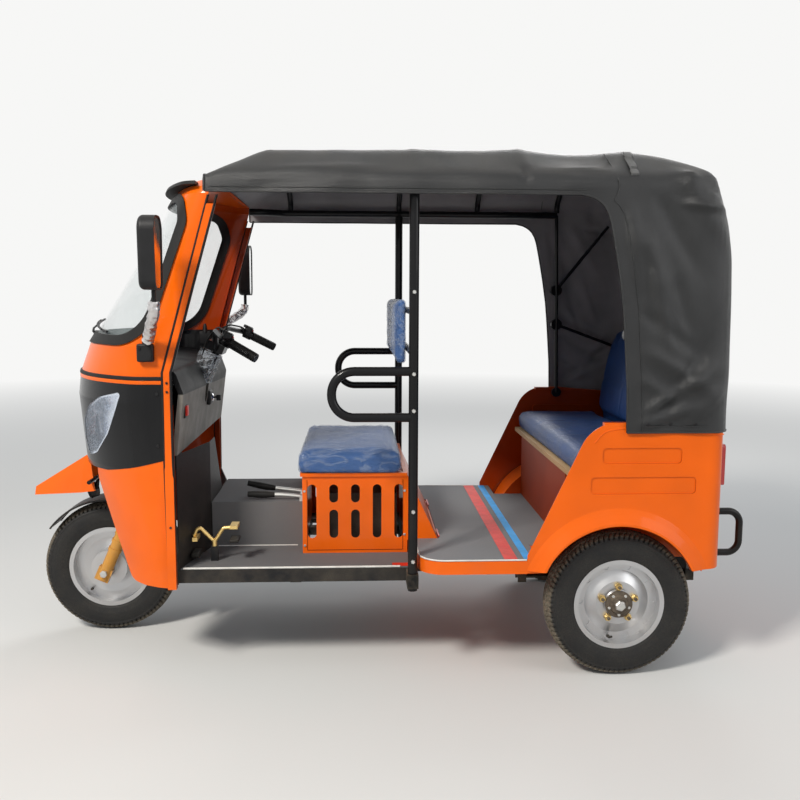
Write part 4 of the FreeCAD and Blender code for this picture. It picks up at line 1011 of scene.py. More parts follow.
print("hood bows:", len(HOOD_BOWS))

# %% [markdown]
# The grid's columns start evenly along the side, and one of them lies where the curtain's edge
# will be, so that the doorway can be cut along whole faces. Its rows go up the wall, fan out
# over the shoulder and close in on the middle of the roof. Halving the way along each ray
# finds the rounded form to a hair's breadth.

# %% The hood's grid
HOOD_FRONT = -0.566
EDGE_X = 0.890
SIDE_COLUMNS = 97
RAY_INSET = 0.16
CORNER_BEND = 0.125
# The curtain's front edge: height, x.
CURTAIN_EDGE = ((HOOD_HEM, 0.8960), (1.062, 0.8920), (1.230, 0.8790), (1.340, 0.8690),
                (1.450, 0.8520), (1.560, 0.8310), (1.620, 0.8180), (1.650, 0.8080),
                (1.675, 0.7930), (1.692, 0.7740), (1.704, 0.7500),
                (VALANCE_HEM, 0.7150))


def hood_columns():
    """Where the columns stand along the side, from the front to the rear corner."""
    front = np.linspace(HOOD_FRONT, EDGE_X, SIDE_COLUMNS + 1)
    rear = np.linspace(EDGE_X, HOOD_BACK - CORNER_BEND, 19)[1:]
    return np.concatenate([front, rear])


def hood_rays():
    """Start points and directions of every grid point, rows by columns."""
    heights = np.concatenate([np.linspace(HOOD_HEM, 1.62, 50),
                              np.linspace(1.628, VALANCE_HEM, 12)])
    fan = np.linspace(0.0, math.pi / 2, 15)[1:]
    insets = np.linspace(RAY_INSET, HOOD_HALF - 0.0005, 33)[1:]
    side = hood_columns()
    corner = np.linspace(0.0, math.pi / 2, 12)[1:]
    across = np.linspace(1.0, 0.0, 34)[1:]
    starts, ways = [], []

    def ring(inset, height, tip):
        """One ring: where its rays start and which way they go."""
        half, back = HOOD_HALF - inset, HOOD_BACK - inset
        bend = max(CORNER_BEND - inset, 0.0)
        stretch = (back - bend - HOOD_FRONT) / (HOOD_BACK - CORNER_BEND - HOOD_FRONT)
        xs = HOOD_FRONT + (side - HOOD_FRONT) * stretch
        points = [(x, -half, 0.0, -1.0) for x in xs]
        points += [(back - bend + bend * math.sin(a), -half + bend - bend * math.cos(a),
                    math.sin(a), -math.cos(a)) for a in corner]
        points += [(back, -(half - bend) * t, 1.0, 0.0) for t in across]
        points = points + [(x, -y, dx, -dy) for x, y, dx, dy in points[-2::-1]]
        flat, up = math.cos(tip), math.sin(tip)
        starts.append([(x, y, height) for x, y, _, _ in points])
        ways.append([(dx * flat, dy * flat, up) for _, _, dx, dy in points])

    for height in heights:
        ring(RAY_INSET, height, 0.0)
    for tip in fan:
        ring(RAY_INSET, VALANCE_HEM, tip)
    for inset in insets:
        ring(inset, VALANCE_HEM, math.pi / 2)
    return np.array(starts), np.array(ways), len(heights)


def hood_grid():
    """The taut hood: each ray walked out to the rounded form by halving."""
    starts, ways, walls = hood_rays()
    near, far = np.zeros(starts.shape[:2]), np.full(starts.shape[:2], 0.5)
    for _ in range(24):
        middle = (near + far) / 2
        at = starts + ways * middle[..., None]
        inside = hood_gap(at[..., 0], at[..., 1], at[..., 2]) < 0
        near, far = np.where(inside, middle, near), np.where(inside, far, middle)
    return starts + ways * near[..., None], ways, walls


hood_points, hood_ways, hood_walls = hood_grid()
print("hood grid:", hood_points.shape[:2])

# %% [markdown]
# Coated cloth isn't smooth: it sags between the bows, is pulled into long folds by the straps
# and studs, and flutters along its free hem. A cloth simulation would give folds, but not
# these ones. Each fold is therefore drawn as a soft ridge along a line read from the photo.

# %% The hood's edges and creases


def edge_at(height):
    """Where the curtain's front edge is at a height."""
    line = np.array(CURTAIN_EDGE)
    return np.interp(height, line[:, 0], line[:, 1])


def pull_edge(points):
    """Slide the side columns so that one of them lies along the curtain's edge."""
    x, y, z = points[..., 0], points[..., 1], points[..., 2]
    shift = edge_at(np.minimum(z, VALANCE_HEM)) - EDGE_X
    shift = shift * np.exp(-np.maximum(z - VALANCE_HEM, 0.0) / 0.05)
    ahead, behind = rise(x, EDGE_X - 0.42, 0.42), rise(x, EDGE_X + 0.27, -0.27)
    reach = np.where(x < EDGE_X, ahead, behind)
    reach = reach * reach * (3 - 2 * reach)
    points[..., 0] = x + shift * reach * rise(np.abs(y), 0.50, 0.08)
    return points


FOLD_DEPTH = 2.6


def crease(x, z, start, end, wide, high):
    """A fold along a line on the side: high at its middle, fading at its ends."""
    (x0, z0), (x1, z1) = start, end
    length = math.hypot(x1 - x0, z1 - z0)
    along = ((x - x0) * (x1 - x0) + (z - z0) * (z1 - z0)) / length ** 2
    off = ((x - x0) * (z1 - z0) - (z - z0) * (x1 - x0)) / length
    fade = rise(along, 0.0, 0.2) * rise(along, 1.0, -0.35)
    return FOLD_DEPTH * high * fade * np.exp(-(off / wide) ** 2)


print("rules for edges and creases ready")

# %% The hood's folds, sag and flutter
# Folds on the curtain: start, end, width, height.
CURTAIN_FOLDS = (((0.905, 0.96), (1.215, 1.16), 0.020, 0.0075),
                 ((0.900, 0.93), (1.120, 1.00), 0.016, 0.0060),
                 ((0.965, 0.93), (1.235, 1.36), 0.026, -0.0050),
                 ((0.905, 1.20), (1.205, 1.02), 0.022, 0.0050),
                 ((0.892, 1.33), (1.150, 1.15), 0.020, -0.0040),
                 ((1.080, 0.93), (1.210, 1.07), 0.015, 0.0050),
                 ((0.880, 1.62), (1.030, 1.30), 0.030, 0.0060),
                 ((0.930, 1.73), (1.130, 1.40), 0.026, -0.0045),
                 ((0.850, 1.70), (0.900, 1.38), 0.018, 0.0040),
                 ((1.010, 1.82), (1.210, 1.52), 0.030, 0.0055),
                 ((1.020, 1.69), (1.225, 1.66), 0.014, 0.0050),
                 ((1.060, 1.75), (1.225, 1.72), 0.012, -0.0040),
                 ((1.040, 1.80), (1.180, 1.66), 0.014, 0.0040),
                 ((0.930, 1.48), (1.020, 1.16), 0.018, 0.0045),
                 ((1.000, 1.45), (1.100, 1.20), 0.020, -0.0040),
                 ((0.900, 1.10), (1.060, 0.99), 0.013, 0.0035))
# Folds along the valance that run back from the bows.
VALANCE_FOLDS = (((0.494, 1.835), (0.800, 1.795), 0.011, 0.0050),
                 ((0.494, 1.850), (0.500, 1.740), 0.010, -0.0050),
                 ((0.620, 1.760), (0.820, 1.735), 0.015, 0.0030),
                 ((0.129, 1.835), (0.480, 1.840), 0.012, 0.0025),
                 ((-0.370, 1.790), (0.100, 1.815), 0.012, 0.0025),
                 ((-0.440, 1.730), (-0.100, 1.760), 0.014, -0.0025))
ROOF_FOOT = 1.80
# How deep the cloth hangs between each bow and the next.
BOW_SAGS = (0.003, 0.004, 0.014)


def waves(points, scale, seed):
    """Smooth noise of about -1 to 1 at each point."""
    offset = Vector((seed, seed * 1.7, seed * 0.3))
    flat = points.reshape(-1, 3)
    made = np.array([noise.noise(Vector(p) * scale + offset) for p in flat])
    return made.reshape(points.shape[:2])


def ease_hood(points, ways):
    """Sag between the bows, folds on the sides and a loose lower edge."""
    x, y, z = points[..., 0], points[..., 1], points[..., 2]
    sag = np.zeros_like(x)
    for a, b, deep in zip(HOOD_BOWS, HOOD_BOWS[1:], BOW_SAGS):
        sag = sag + deep * np.sin(rise(x, a, b - a) * math.pi) ** 1.2
    for bow in HOOD_BOWS:
        sag = sag - 0.0025 * np.exp(-((x - bow) / 0.020) ** 2)
    centre = 1.0 + 0.8 * np.cos(np.clip(y / 0.5, -1.0, 1.0) * math.pi / 2)
    points[..., 2] = z - sag * rise(z, ROOF_FOOT, 0.05) * centre
    side = rise(np.abs(y), 0.56, 0.04)
    push = np.zeros_like(x)
    for fold in CURTAIN_FOLDS + VALANCE_FOLDS:
        push = push + crease(x, z, *fold)
    push = push * side
    push = push + 0.0030 * waves(points, 3.2, 4.0) + 0.0014 * waves(points, 11.0, 9.0)
    loose = rise(z, ROOF_FOOT, -0.09) * (x < 0.80)
    push = push + loose * 0.0035 * np.sin(x * 17.0 + 1.3 * np.sin(x * 5.0)) * side
    upright = rise(x, 0.93, 0.1) * (z < 1.78)
    push = push + upright * 0.0028 * np.sin((y * 5.0 + x * 7.0) * 3.1 + 2.0 * np.sin(z * 6.0))
    normal = np.cross(np.gradient(points, axis=1), np.gradient(points, axis=0))
    normal = normal / np.maximum(np.linalg.norm(normal, axis=-1, keepdims=True), 1e-9)
    outward = np.where((normal * ways).sum(axis=-1, keepdims=True) < 0, -1.0, 1.0)
    normal = normal * outward
    # Where points fall together there is no normal, and the ray's way serves.
    lost = np.linalg.norm(normal, axis=-1, keepdims=True) < 0.5
    normal = np.where(lost, ways, normal)
    return points + normal * push[..., None], normal


def hood_faces(shape, walls):
    """Quads of the hood, leaving out the doorways under the valance."""
    rows, columns = shape
    for i in range(rows - 1):
        for j in range(columns - 1):
            beside = j < SIDE_COLUMNS or j >= columns - 1 - SIDE_COLUMNS
            if not (beside and i < walls - 1):
                yield (i * columns + j, i * columns + j + 1, (i + 1) * columns + j + 1,
                       (i + 1) * columns + j)


hood_points, hood_normals = ease_hood(pull_edge(hood_points), hood_ways)
print("hood eased")

# %% [markdown]
# Cloth seen from both sides needs both sides made. The same points moved inwards give the
# backing, and a rim of faces closes the cut edge, so the sheet has a real thickness and each
# face its own finish.

# %% The hood


def edge_loop(faces):
    """Directed edges that belong to one face only."""
    seen = {}
    for face in faces:
        for a, b in zip(face, face[1:] + face[:1]):
            seen[(a, b)] = seen.get((a, b), 0) + 1
    return [(a, b) for (a, b) in seen if (b, a) not in seen]


def make_hood(thick=0.0026):
    """One closed sheet: leathered outside, grey backing inside, and the cut edge."""
    rows, columns = hood_points.shape[:2]
    outer = hood_points.reshape(-1, 3).copy()
    half = columns // 2
    spine = (rows - 1) * columns
    faces = list(hood_faces((rows, columns), hood_walls))
    # The last row lies on the middle line twice, so its right half takes the left's points.
    partner = {spine + columns - 1 - j: spine + j for j in range(half)}
    for right, left in partner.items():
        outer[left] = (outer[left] + outer[right]) / 2
        outer[left][1] = 0.0
    faces = [tuple(partner.get(i, i) for i in face) for face in faces]
    inner = outer - hood_normals.reshape(-1, 3) * thick
    used = sorted({i for face in faces for i in face})
    place_of = {old: new for new, old in enumerate(used)}
    count = len(used)
    points = np.concatenate([outer[used], inner[used]])
    faces = [tuple(place_of[i] for i in face) for face in faces]
    # Turned over, yet starting at the same corner, so both layers split along one diagonal.
    lining = [tuple(count + i for i in face[:1] + face[:0:-1]) for face in faces]
    rim = [(b, a, count + a, count + b) for a, b in edge_loop(faces)]
    hood = show("hood", (points, faces + lining + rim), hood_cloth, angle=60.0)
    hood.data.materials.append(hood_lining)
    for polygon in hood.data.polygons:
        polygon.material_index = int(min(polygon.vertices) >= count)
    return hood


def hem_lines():
    """The hood's cut edges: valance and curtain on the left and the right, then behind."""
    row = hood_walls - 1
    sides = [np.concatenate([half[row, :SIDE_COLUMNS + 1], half[row - 1::-1, SIDE_COLUMNS]])
             for half in (hood_points, hood_points[:, ::-1])]
    return sides + [hood_points[0, SIDE_COLUMNS:-SIDE_COLUMNS]]


hood = make_hood()
show("hood_hem", together([tube(line, 0.0034, 8) for line in hem_lines()]), hood_cloth)
front_line = np.concatenate([hood_points[hood_walls - 1:, 0],
                             hood_points[hood_walls - 1:, -1][::-1]])
show("hood_front_hem", tube(front_line, 0.0045, 8), hood_cloth)
print("hood faces:", len(hood.data.polygons))

# %% [markdown]
# The hood is held by what is sewn and pressed on it: seams along its edges, a strap over each
# shoulder and studs along the bottom. Each is placed by asking the hood's own grid for the
# nearest point, so it lies on the folds and not through them.

# %% The hood's seams and straps


def on_hood(x, side, z, proud):
    """The nearest point of the hood's grid on one side, pushed out a little."""
    half = hood_points.shape[1] // 2
    columns = slice(half) if side < 0 else slice(half + 1, None)
    wall, normals = hood_points[:, columns], hood_normals[:, columns]
    gap = (wall[..., 0] - x) ** 2 + (wall[..., 2] - z) ** 2
    at = np.unravel_index(np.argmin(gap + 9.0 * (np.abs(wall[..., 1]) < 0.40)), gap.shape)
    base = wall[at].copy()
    base[0], base[2] = x, z
    return base + normals[at] * proud


def seam(side, corners, step=0.02):
    """A raised seam: a thin roll on the cloth along straight runs of x and z."""
    line = []
    for (x0, z0), (x1, z1) in zip(corners, corners[1:]):
        count = max(2, int(math.hypot(x1 - x0, z1 - z0) / step))
        line += [(x0 + (x1 - x0) * t, z0 + (z1 - z0) * t)
                 for t in np.linspace(0.0, 1.0, count, endpoint=False)]
    line.append(corners[-1])
    return tube([on_hood(x, side, z, 0.0008) for x, z in line], 0.0016, 8)


EDGE_SEAM = tuple((x + 0.022, z) for z, x in CURTAIN_EDGE if z < 1.70)[::-1]
SEAMS = (((0.790, 1.862), (0.802, 1.800), (0.812, 1.735)) + EDGE_SEAM,
         ((-0.545, 1.727), (0.10, 1.727), (0.70, 1.727)),
         ((0.920, 0.927), (1.150, 0.927)))


def strap(side):
    """A short webbing strap over the shoulder."""
    return [grid([[on_hood(0.868 + across, side, z, 0.0024)
                   for across in (-0.014, -0.007, 0.007, 0.014)]
                  for z in np.linspace(1.868, 1.775, 12)])]


def hem_studs(side):
    """Three domed studs along the bottom of the curtain."""
    dome = [(0.0005, 0.0), (0.0065, 0.0), (0.0065, 0.0020), (0.005, 0.0035), (0.0005, 0.004)]
    return [turned(dome, 20, on_hood(x, side, 0.935, 0.0), side)
            for x in (0.935, 1.020, 1.105)]


show("hood_seams", both_sides(lambda side: [seam(side, line) for line in SEAMS]), hood_cloth)
straps = show("hood_straps", both_sides(strap), webbing)
thicken = straps.modifiers.new("webbing", "SOLIDIFY")
thicken.thickness = 0.0018
thicken.offset = 1.0
show("hood_studs", both_sides(hem_studs), black_plastic)
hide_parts("canopy")
print("hood seams:", len(SEAMS), "a side")

# %% [markdown]
# Seats are foam under a tight cover, so they bulge where nothing holds them. Each starts as a
# slightly small block with rounded edges, is remeshed into even cells and is blown up as cloth
# from the inside. Points may move only so far, and those that rest on a board stay flat. The
# driver's seat and the bench still wear their clear delivery film, a loose second skin.

# %% Pads as blown-up cloth
BLOWING_STEPS = 20
PRESSURE = 3.0


def frozen(piece):
    """The piece's mesh with its modifiers worked in."""
    graph = bpy.context.evaluated_depsgraph_get()
    mesh = bpy.data.meshes.new_from_object(piece.evaluated_get(graph))
    piece.modifiers.clear()
    piece.data = mesh
    return piece


def points_of(piece, what="co"):
    """The place of each point, or another of its vectors such as its normal."""
    points = np.empty(len(piece.data.vertices) * 3)
    piece.data.vertices.foreach_get(what, points)
    return points.reshape(-1, 3)


def set_points(piece, points):
    piece.data.vertices.foreach_set("co", points.reshape(-1))
    piece.data.update()


def held_points(piece, rest):
    """A vertex group of the points that lie against something, for the cloth to pin."""
    group = piece.vertex_groups.new(name="held")
    group.add([int(i) for i in np.nonzero(rest(points_of(piece)))[0]], 1.0, "REPLACE")
    return group.name


def blown(piece, voxel, cap, rest):
    """Remesh a pad, blow it up as cloth and keep each point within cap of its start."""
    remesh = piece.modifiers.new("cells", "REMESH")
    remesh.mode = "VOXEL"
    remesh.voxel_size = voxel
    frozen(piece)
    before = points_of(piece)
    cloth = piece.modifiers.new("cover", "CLOTH")
    settings = cloth.settings
    settings.quality = 5
    settings.mass = 0.25
    settings.tension_stiffness = settings.compression_stiffness = 18.0
    settings.bending_stiffness = 1.2
    settings.use_pressure = True
    settings.uniform_pressure_force = PRESSURE
    settings.effector_weights.gravity = 0.0
    settings.vertex_group_mass = held_points(piece, rest)
    for number in range(1, BLOWING_STEPS + 1):
        bpy.context.scene.frame_set(number)
    frozen(piece)
    bpy.context.scene.frame_set(1)
    moved = points_of(piece) - before
    length = np.linalg.norm(moved, axis=1, keepdims=True)
    moved = moved * np.minimum(1.0, cap / np.maximum(length, 1e-9))
    set_points(piece, before + moved)
    piece.vertex_groups.clear()
    return piece


def softened(piece):
    """Even out small steps left by the remesh."""
    relax = piece.modifiers.new("even", "SMOOTH")
    relax.factor = 0.5
    relax.iterations = 6
    return frozen(piece)


def finer(piece):
    """One subdivision, worked out when the scene is drawn."""
    made = piece.modifiers.new("finer", "SUBSURF")
    made.levels = made.render_levels = 1


def groove(points, at, wide, deep, axis, inward):
    """Press a sewn channel into the points near a plane across one axis."""
    near = np.exp(-((points[:, axis] - at) / wide) ** 2)
    return points - inward * (near * deep)[:, None]


def film_over(name, pad, lift, crumple, hem=None, finish=clear_film):
    """A loose clear skin: the pad's own points moved out by an uneven amount."""
    film = placed(name, pad.data.copy())
    points, normals = points_of(film), points_of(film, "normal")
    high = []
    for p in points:
        at = Vector((p[0] * 9.0, p[1] * 34.0, p[2] * 30.0))
        at.y += 4.0 * noise.noise(Vector(p) * 5.0)
        ridge = 1.0 - abs(noise.noise(at)) * 2.0
        small = 1.0 - abs(noise.noise(Vector(p) * 75.0)) * 2.0
        high.append(max(0.75 * ridge + 0.25 * small, 0.0))
    points = points + normals * (lift + crumple * np.array(high))[:, None]
    if hem is not None:
        points = hem(points)
    set_points(film, points)
    dress(film, finish)
    smooth(film, 180.0)
    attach(film, "chassis")


print("pad helpers ready")

# %% [markdown]
# The driver's seat and the bench are made alike: a block that is a little low on top, blown
# up, evened out, and then pressed along the lines where the cover is sewn down. The lines come
# after the blowing, because the remesh would wipe them away.

# %% The driver's cushion
DRIVER_SEAT = ((-0.305, -0.360, 0.7103), (0.115, 0.360, 0.8003))
ROOM_TO_RISE = 0.012


def pad_block(name, space, inset, bend):
    """The pad before it is blown up: the space it fills, less a margin, edges rounded."""
    low, high = np.array(space[0]) + inset, np.array(space[1]) - inset
    shape = rounded_box(tuple((low + high) / 2), tuple(high - low), bend, segments=5)
    return show(name, shape, navy_leatherette)


def seat_cushion(name, space, inset, bend, voxel):
    """A seat pad that rests flat on its board and swells everywhere else."""
    (_, _, foot), (_, _, top) = space
    cushion = pad_block(name, space, np.array(inset), bend)
    points = points_of(cushion)
    points[:, 2] -= np.where(points[:, 2] > (foot + top) / 2, ROOM_TO_RISE, -0.001)
    set_points(cushion, points)
    blown(cushion, voxel, 0.010, lambda p: p[:, 2] < foot + 0.006)
    return softened(cushion)


def sew_down(cushion, lines, wide, deep, axis, above):
    """Sewn channels across the top of a cushion, at places along one axis."""
    points = points_of(cushion)
    up = np.zeros_like(points)
    up[:, 2] = rise(points[:, 2], above, 0.02)
    for at in lines:
        points = groove(points, at, wide, deep, axis, up)
    set_points(cushion, points)
    smooth(cushion, 60.0)
    finer(cushion)


driver_pad = seat_cushion("driver_pad", DRIVER_SEAT, (0.010, 0.012, 0.0), 0.022, 0.011)
sew_down(driver_pad, (-0.245, 0.055), 0.005, 0.0035, 0, 0.765)
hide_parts("driver_cushion")
print("driver's cushion:", len(driver_pad.data.vertices), "points")

# %% [markdown]
# The clear film is a second skin over the cushion. Copying the pad's own points keeps it from
# cutting through anything, and noise stretched along the seat lifts it into long crumples.

# %% The driver's cushion film


def gathered_hem(points):
    """The film's lower edge, gathered loosely under the cushion's front corners."""
    gather = rise(points[:, 2], 0.735, -0.03) * rise(points[:, 0], -0.27, -0.03)
    points[:, 0] -= 0.006 * gather
    points[:, 2] -= 0.004 * gather
    return points


film_over("driver_seat_film", driver_pad, 0.0006, 0.0048, gathered_hem)
print("film over the driver's cushion")

# %% The driver's backrest
BACKREST = ((0.0735, -0.450, 1.118), (0.110, 0.450, 1.372))


def held_behind(points):
    """The points of the backrest that lie against its board."""
    return points[:, 0] > BACKREST[1][0] - 0.009


driver_back = pad_block("driver_back", BACKREST, np.array((0.004, 0.010, 0.010)), 0.014)
softened(blown(driver_back, 0.008, 0.007, held_behind))
smooth(driver_back, 60.0)
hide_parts("driver_backrest")
film_over("driver_back_film", driver_back, 0.0005, 0.0040)
print("driver's backrest:", len(driver_back.data.vertices), "points")

# %% The bench cushion
BENCH_SEAT = ((0.690, -0.580, 0.7453), (1.100, 0.580, 0.833))
BENCH_SEAMS = (-0.193, 0.193)

bench_pad = seat_cushion("bench_pad", BENCH_SEAT, (0.009, 0.010, 0.0), 0.024, 0.013)
sew_down(bench_pad, BENCH_SEAMS, 0.006, 0.0045, 1, 0.795)
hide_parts("rear_cushion")
# The bench's film is the darker copy, as painted shade.
film_over("bench_film", bench_pad, 0.0006, 0.0050, finish=bench_wrap_painted_shade)
print("bench cushion:", len(bench_pad.data.vertices), "points")

# %% [markdown]
# The bench's back leans, and its top rolls over, so a block won't do. Its side outline is drawn
# once and carried across the vehicle, a little smaller at both ends.

# %% The bench backrest
# Its side outline, x and z, inside the space of the frame's solid.
BACK_OUTLINE = ((1.112, 0.752), (1.110, 0.838), (1.086, 0.846), (1.090, 0.900), (1.102, 0.980),
                (1.124, 1.090), (1.150, 1.186), (1.166, 1.222), (1.182, 1.230), (1.196, 1.216),
                (1.199, 1.190), (1.199, 0.752))
BACK_HALF = 0.548


def bench_back_block():
    """The outline carried across the vehicle, narrowed at its ends and closed."""
    outline = np.array(BACK_OUTLINE)
    middle = outline.mean(axis=0)
    rings = []
    for t in np.linspace(-1.0, 1.0, 40):
        ring = (outline - middle) * (1.0 - 0.10 * abs(t) ** 14) + middle
        rings.append([(x, t * BACK_HALF, z) for x, z in ring])
    return capped(grid(rings, wrap_columns=True), len(BACK_OUTLINE))


def sew_back(rest):
    """Two upright channels and one across, pressed into the front of the backrest."""
    points = points_of(rest)
    forward = np.zeros_like(points)
    forward[:, 0] = -rise(points[:, 0], 1.175, -0.02)
    for at in BENCH_SEAMS:
        points = groove(points, at, 0.006, 0.005, 1, forward)
    set_points(rest, groove(points, 0.985, 0.006, 0.004, 2, forward))
    smooth(rest, 60.0)
    finer(rest)


bench_back = show("bench_back", bench_back_block(), navy_leatherette)
softened(blown(bench_back, 0.013, 0.008, lambda p: (p[:, 0] > 1.190) | (p[:, 2] < 0.765)))
sew_back(bench_back)
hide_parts("rear_backrest")
print("bench backrest:", len(bench_back.data.vertices), "points")

# %% [markdown]
# The cab's skins meet at seams that the maker hides under rubber and thin painted strips. They
# all lie on the nose's own surface, so one function that gives a point of that surface at any
# height and width places every one of them, and they can't float or sink.

# %% The nose's surface
# Plan sections: height, nose tip x, front radius, half width, corner radius.
CAB_SECTIONS = np.array((
    (0.310, -1.060, 0.560, 0.505, 0.140), (0.760, -1.136, 0.600, 0.530, 0.135),
    (1.000, -1.157, 0.600, 0.532, 0.130), (1.085, -1.147, 0.600, 0.532, 0.130),
    (1.195, -1.105, 0.650, 0.532, 0.150), (1.715, -0.774, 1.000, 0.530, 0.090),
    (1.740, -0.757, 1.000, 0.524, 0.090), (1.767, -0.722, 0.930, 0.480, 0.090)))
DOOR_SEAM = ((-0.738, 0.345), (-0.738, 1.106), (-0.576, 1.680), (-0.567, 1.712))


def cab_at(z):
    """The plan section at a height: tip, front radius, half width, corner radius."""
    return [np.interp(z, CAB_SECTIONS[:, 0], CAB_SECTIONS[:, k]) for k in range(1, 5)]


def nose_plan(z, back, proud=0.0, step=0.012):
    """Points round the nose at one height, from the left door to the right."""
    tip, front, half, corner = cab_at(z)
    centre, corner_y = tip + front, half - corner
    corner_x = centre - math.sqrt((front - corner) ** 2 - corner_y ** 2)
    swing = math.atan2(corner_y, centre - corner_x)
    points = [(x, -half - proud) for x in np.arange(back, corner_x, -step)]
    for a in np.linspace(math.pi / 2, swing, 12):
        points.append((corner_x - (corner + proud) * math.cos(a),
                       -corner_y - (corner + proud) * math.sin(a)))
    for a in np.linspace(swing, 0.0, 40)[1:]:
        points.append((centre - (front + proud) * math.cos(a), -(front + proud) * math.sin(a)))
    return points + [(x, -y) for x, y in points[-2::-1]]


def nose_point(y, z, proud=0.0):
    """The point of the nose's front at a width and height."""
    tip, front = cab_at(z)[:2]
    return Vector((tip + front - math.sqrt((front + proud) ** 2 - y * y), y, z))


def nose_band(name, low, high, proud, material, back=-0.742):
    """A flat strip round the nose between two heights, standing proud of it."""
    middle = (low + high) / 2
    rows = []
    for z, out in ((low, -0.0005), (low, proud * 0.7), (low + 0.0015, proud), (middle, proud),
                   (high - 0.0015, proud), (high, proud * 0.7), (high, -0.0005)):
        rows.append([(x, y, z) for x, y in nose_plan(z, back, out)])
    return show(name, grid(rows), material)


nose_band("waist_rubber", 1.0795, 1.0925, 0.0050, black_rubber)
nose_band("waist_strip", 1.0660, 1.0790, 0.0030, orange_paint)
print("waist strips made")

# %% [markdown]
# A rubber runs up each door post and a second one beside it covers the edge of the post. Each
# is a soft half-round run up a line, which takes its place from the nose's sections.

# %% Door post rubbers


def post_line(side, shift, proud):
    """A line up a door post, shifted rearwards, standing out from the cab's side."""
    line = []
    for (x0, z0), (x1, z1) in zip(DOOR_SEAM, DOOR_SEAM[1:]):
        for t in np.linspace(0.0, 1.0, 14, endpoint=False):
            z = z0 + (z1 - z0) * t
            line.append((x0 + (x1 - x0) * t + shift, side * (cab_at(z)[2] + proud), z))
    return line


def rubber_strip(line, wide=0.0045):
    """A soft rounded strip whose flat lies on the cab's side."""
    rows = []
    for x, y, z in line:
        side = math.copysign(1.0, y)
        back_y = y - side * 0.001
        rows.append([(x - wide * math.cos(a), y + side * wide * math.sin(a), z)
                     for a in np.linspace(0.0, math.pi, 7)]
                    + [(x + wide, back_y, z), (x - wide, back_y, z)])
    return grid(rows, wrap_columns=True)


def door_rubbers(side):
    """The rubber on the seam and the one on the edge behind it."""
    return [rubber_strip(post_line(side, shift, proud))
            for shift, proud in ((0.0, 0.0), (0.0290, 0.001))]


def nose_bolts(side):
    """Two bolts ahead of the door post and three smaller ones down it."""
    ahead = [hexagon((x, side * (cab_at(z)[2] + 0.001), z), (0, side, 0), 0.011, 0.005)
             for x, z in ((-0.757, 1.033), (-0.758, 0.851))]
    return ahead + [hexagon((-0.7225, side * 0.5335, z), (0, side, 0), 0.008, 0.004)
                    for z in (1.071, 1.040, 0.560)]


show("door_rubbers", both_sides(door_rubbers), black_rubber)
show("nose_bolts", both_sides(nose_bolts), black_plastic)
print("door rubbers and nose bolts made")

# %% [markdown]
# The wiper lies parked on the glass. Its points come from the nose's surface too, each with
# its own distance from it: the spindle through it, the arm clear of it, the blade on it.

# %% Windscreen wiper


def wiper():
    """One arm and blade lying on the glass, from a spindle below it."""
    spindle = tube([nose_point(-0.04, 1.222, out) for out in (-0.004, 0.016, 0.021)],
                   [0.011, 0.011, 0.006], 18)
    arm_line = [nose_point(y, z, out) for y, z, out in
                ((-0.04, 1.222, 0.017), (-0.09, 1.232, 0.020), (-0.16, 1.246, 0.019),
                 (-0.22, 1.258, 0.014))]
    arm = tube(arm_line, [0.0055, 0.0050, 0.0040, 0.0035], 10)
    blade_points = [nose_point(y, 1.242 + (y + 0.40) * 0.10, 0.0085)
                    for y in np.linspace(-0.40, -0.05, 24)]
    blade = tube(blade_points, 0.0042, 10)
    back = tube([p + Vector((-0.005, 0.0, 0.003)) for p in blade_points[3:-3]], 0.0028, 8)
    return together([spindle, arm, blade, back])


show("wiper", wiper(), black_plastic)
print("wiper made")

# %% [markdown]
# The floors carry the colours that the eye finds next: white edge trims on the sills and two
# bands, red and blue, across the rear mat. The bands are thin rubber strips glued on the mat,
# so each is a real strip a millimetre high with its own finish.

# %% Floor trims
MAT_TOP = 0.453
MAT_HALF = 0.600
sky_rubber = moulded("sky_rubber", rgb(0.010, 0.30, 0.72), 0.5, grain=700.0, dust=0.25)
red_rubber = moulded("red_rubber", rgb(0.60, 0.022, 0.018), 0.5, grain=700.0, dust=0.35)


def flat_plate(x0, x1, y0, y1, low, high):
    """A thin plate between two heights."""
    corners = ((x0, y0), (x1, y0), (x1, y1), (x0, y1))
    points = [(x, y, z) for z in (low, high) for x, y in corners]
    walls = [(i, (i + 1) % 4, 4 + (i + 1) % 4, 4 + i) for i in range(4)]
    return points, [(0, 1, 2, 3), (7, 6, 5, 4)] + walls


def band_across(name, x0, x1, material):
    """A band from sill to sill on the rear mat."""
    show(name, flat_plate(x0, x1, -MAT_HALF, MAT_HALF, MAT_TOP - 0.0005, MAT_TOP + 0.0012),
         material)


band_across("red_band", 0.450, 0.497, red_rubber)
band_across("blue_band", 0.520, 0.548, sky_rubber)


def sill_path(side, height):
    """The rear floor's edge in plan, from the middle of its front to the wheel house."""
    half, front, bend = 0.6075, 0.1525, 0.090
    line = [(front, side * y) for y in np.linspace(0.335, half - bend, 8, endpoint=False)]
    line += [(front + bend - bend * math.cos(a), side * (half - bend + bend * math.sin(a)))
             for a in np.linspace(0.0, math.pi / 2, 14)]
    line += [(x, side * half) for x in np.linspace(front + bend, 0.528, 12)[1:]]
    return [(x, y, height) for x, y in line]


def white_edges(side):
    """The trims along the rear sill and along the front mat's outer and inner edges."""
    outer = [(x, side * 0.4985, 0.4005) for x in np.linspace(-0.690, 0.088, 26)]
    inner = [(x, side * 0.2155, 0.4015) for x in np.linspace(-0.62, -0.30, 12)]
    return [tube(sill_path(side, 0.4520), 0.0030, 8), tube(outer, 0.0036, 8),
            tube(inner, 0.0022, 8)]


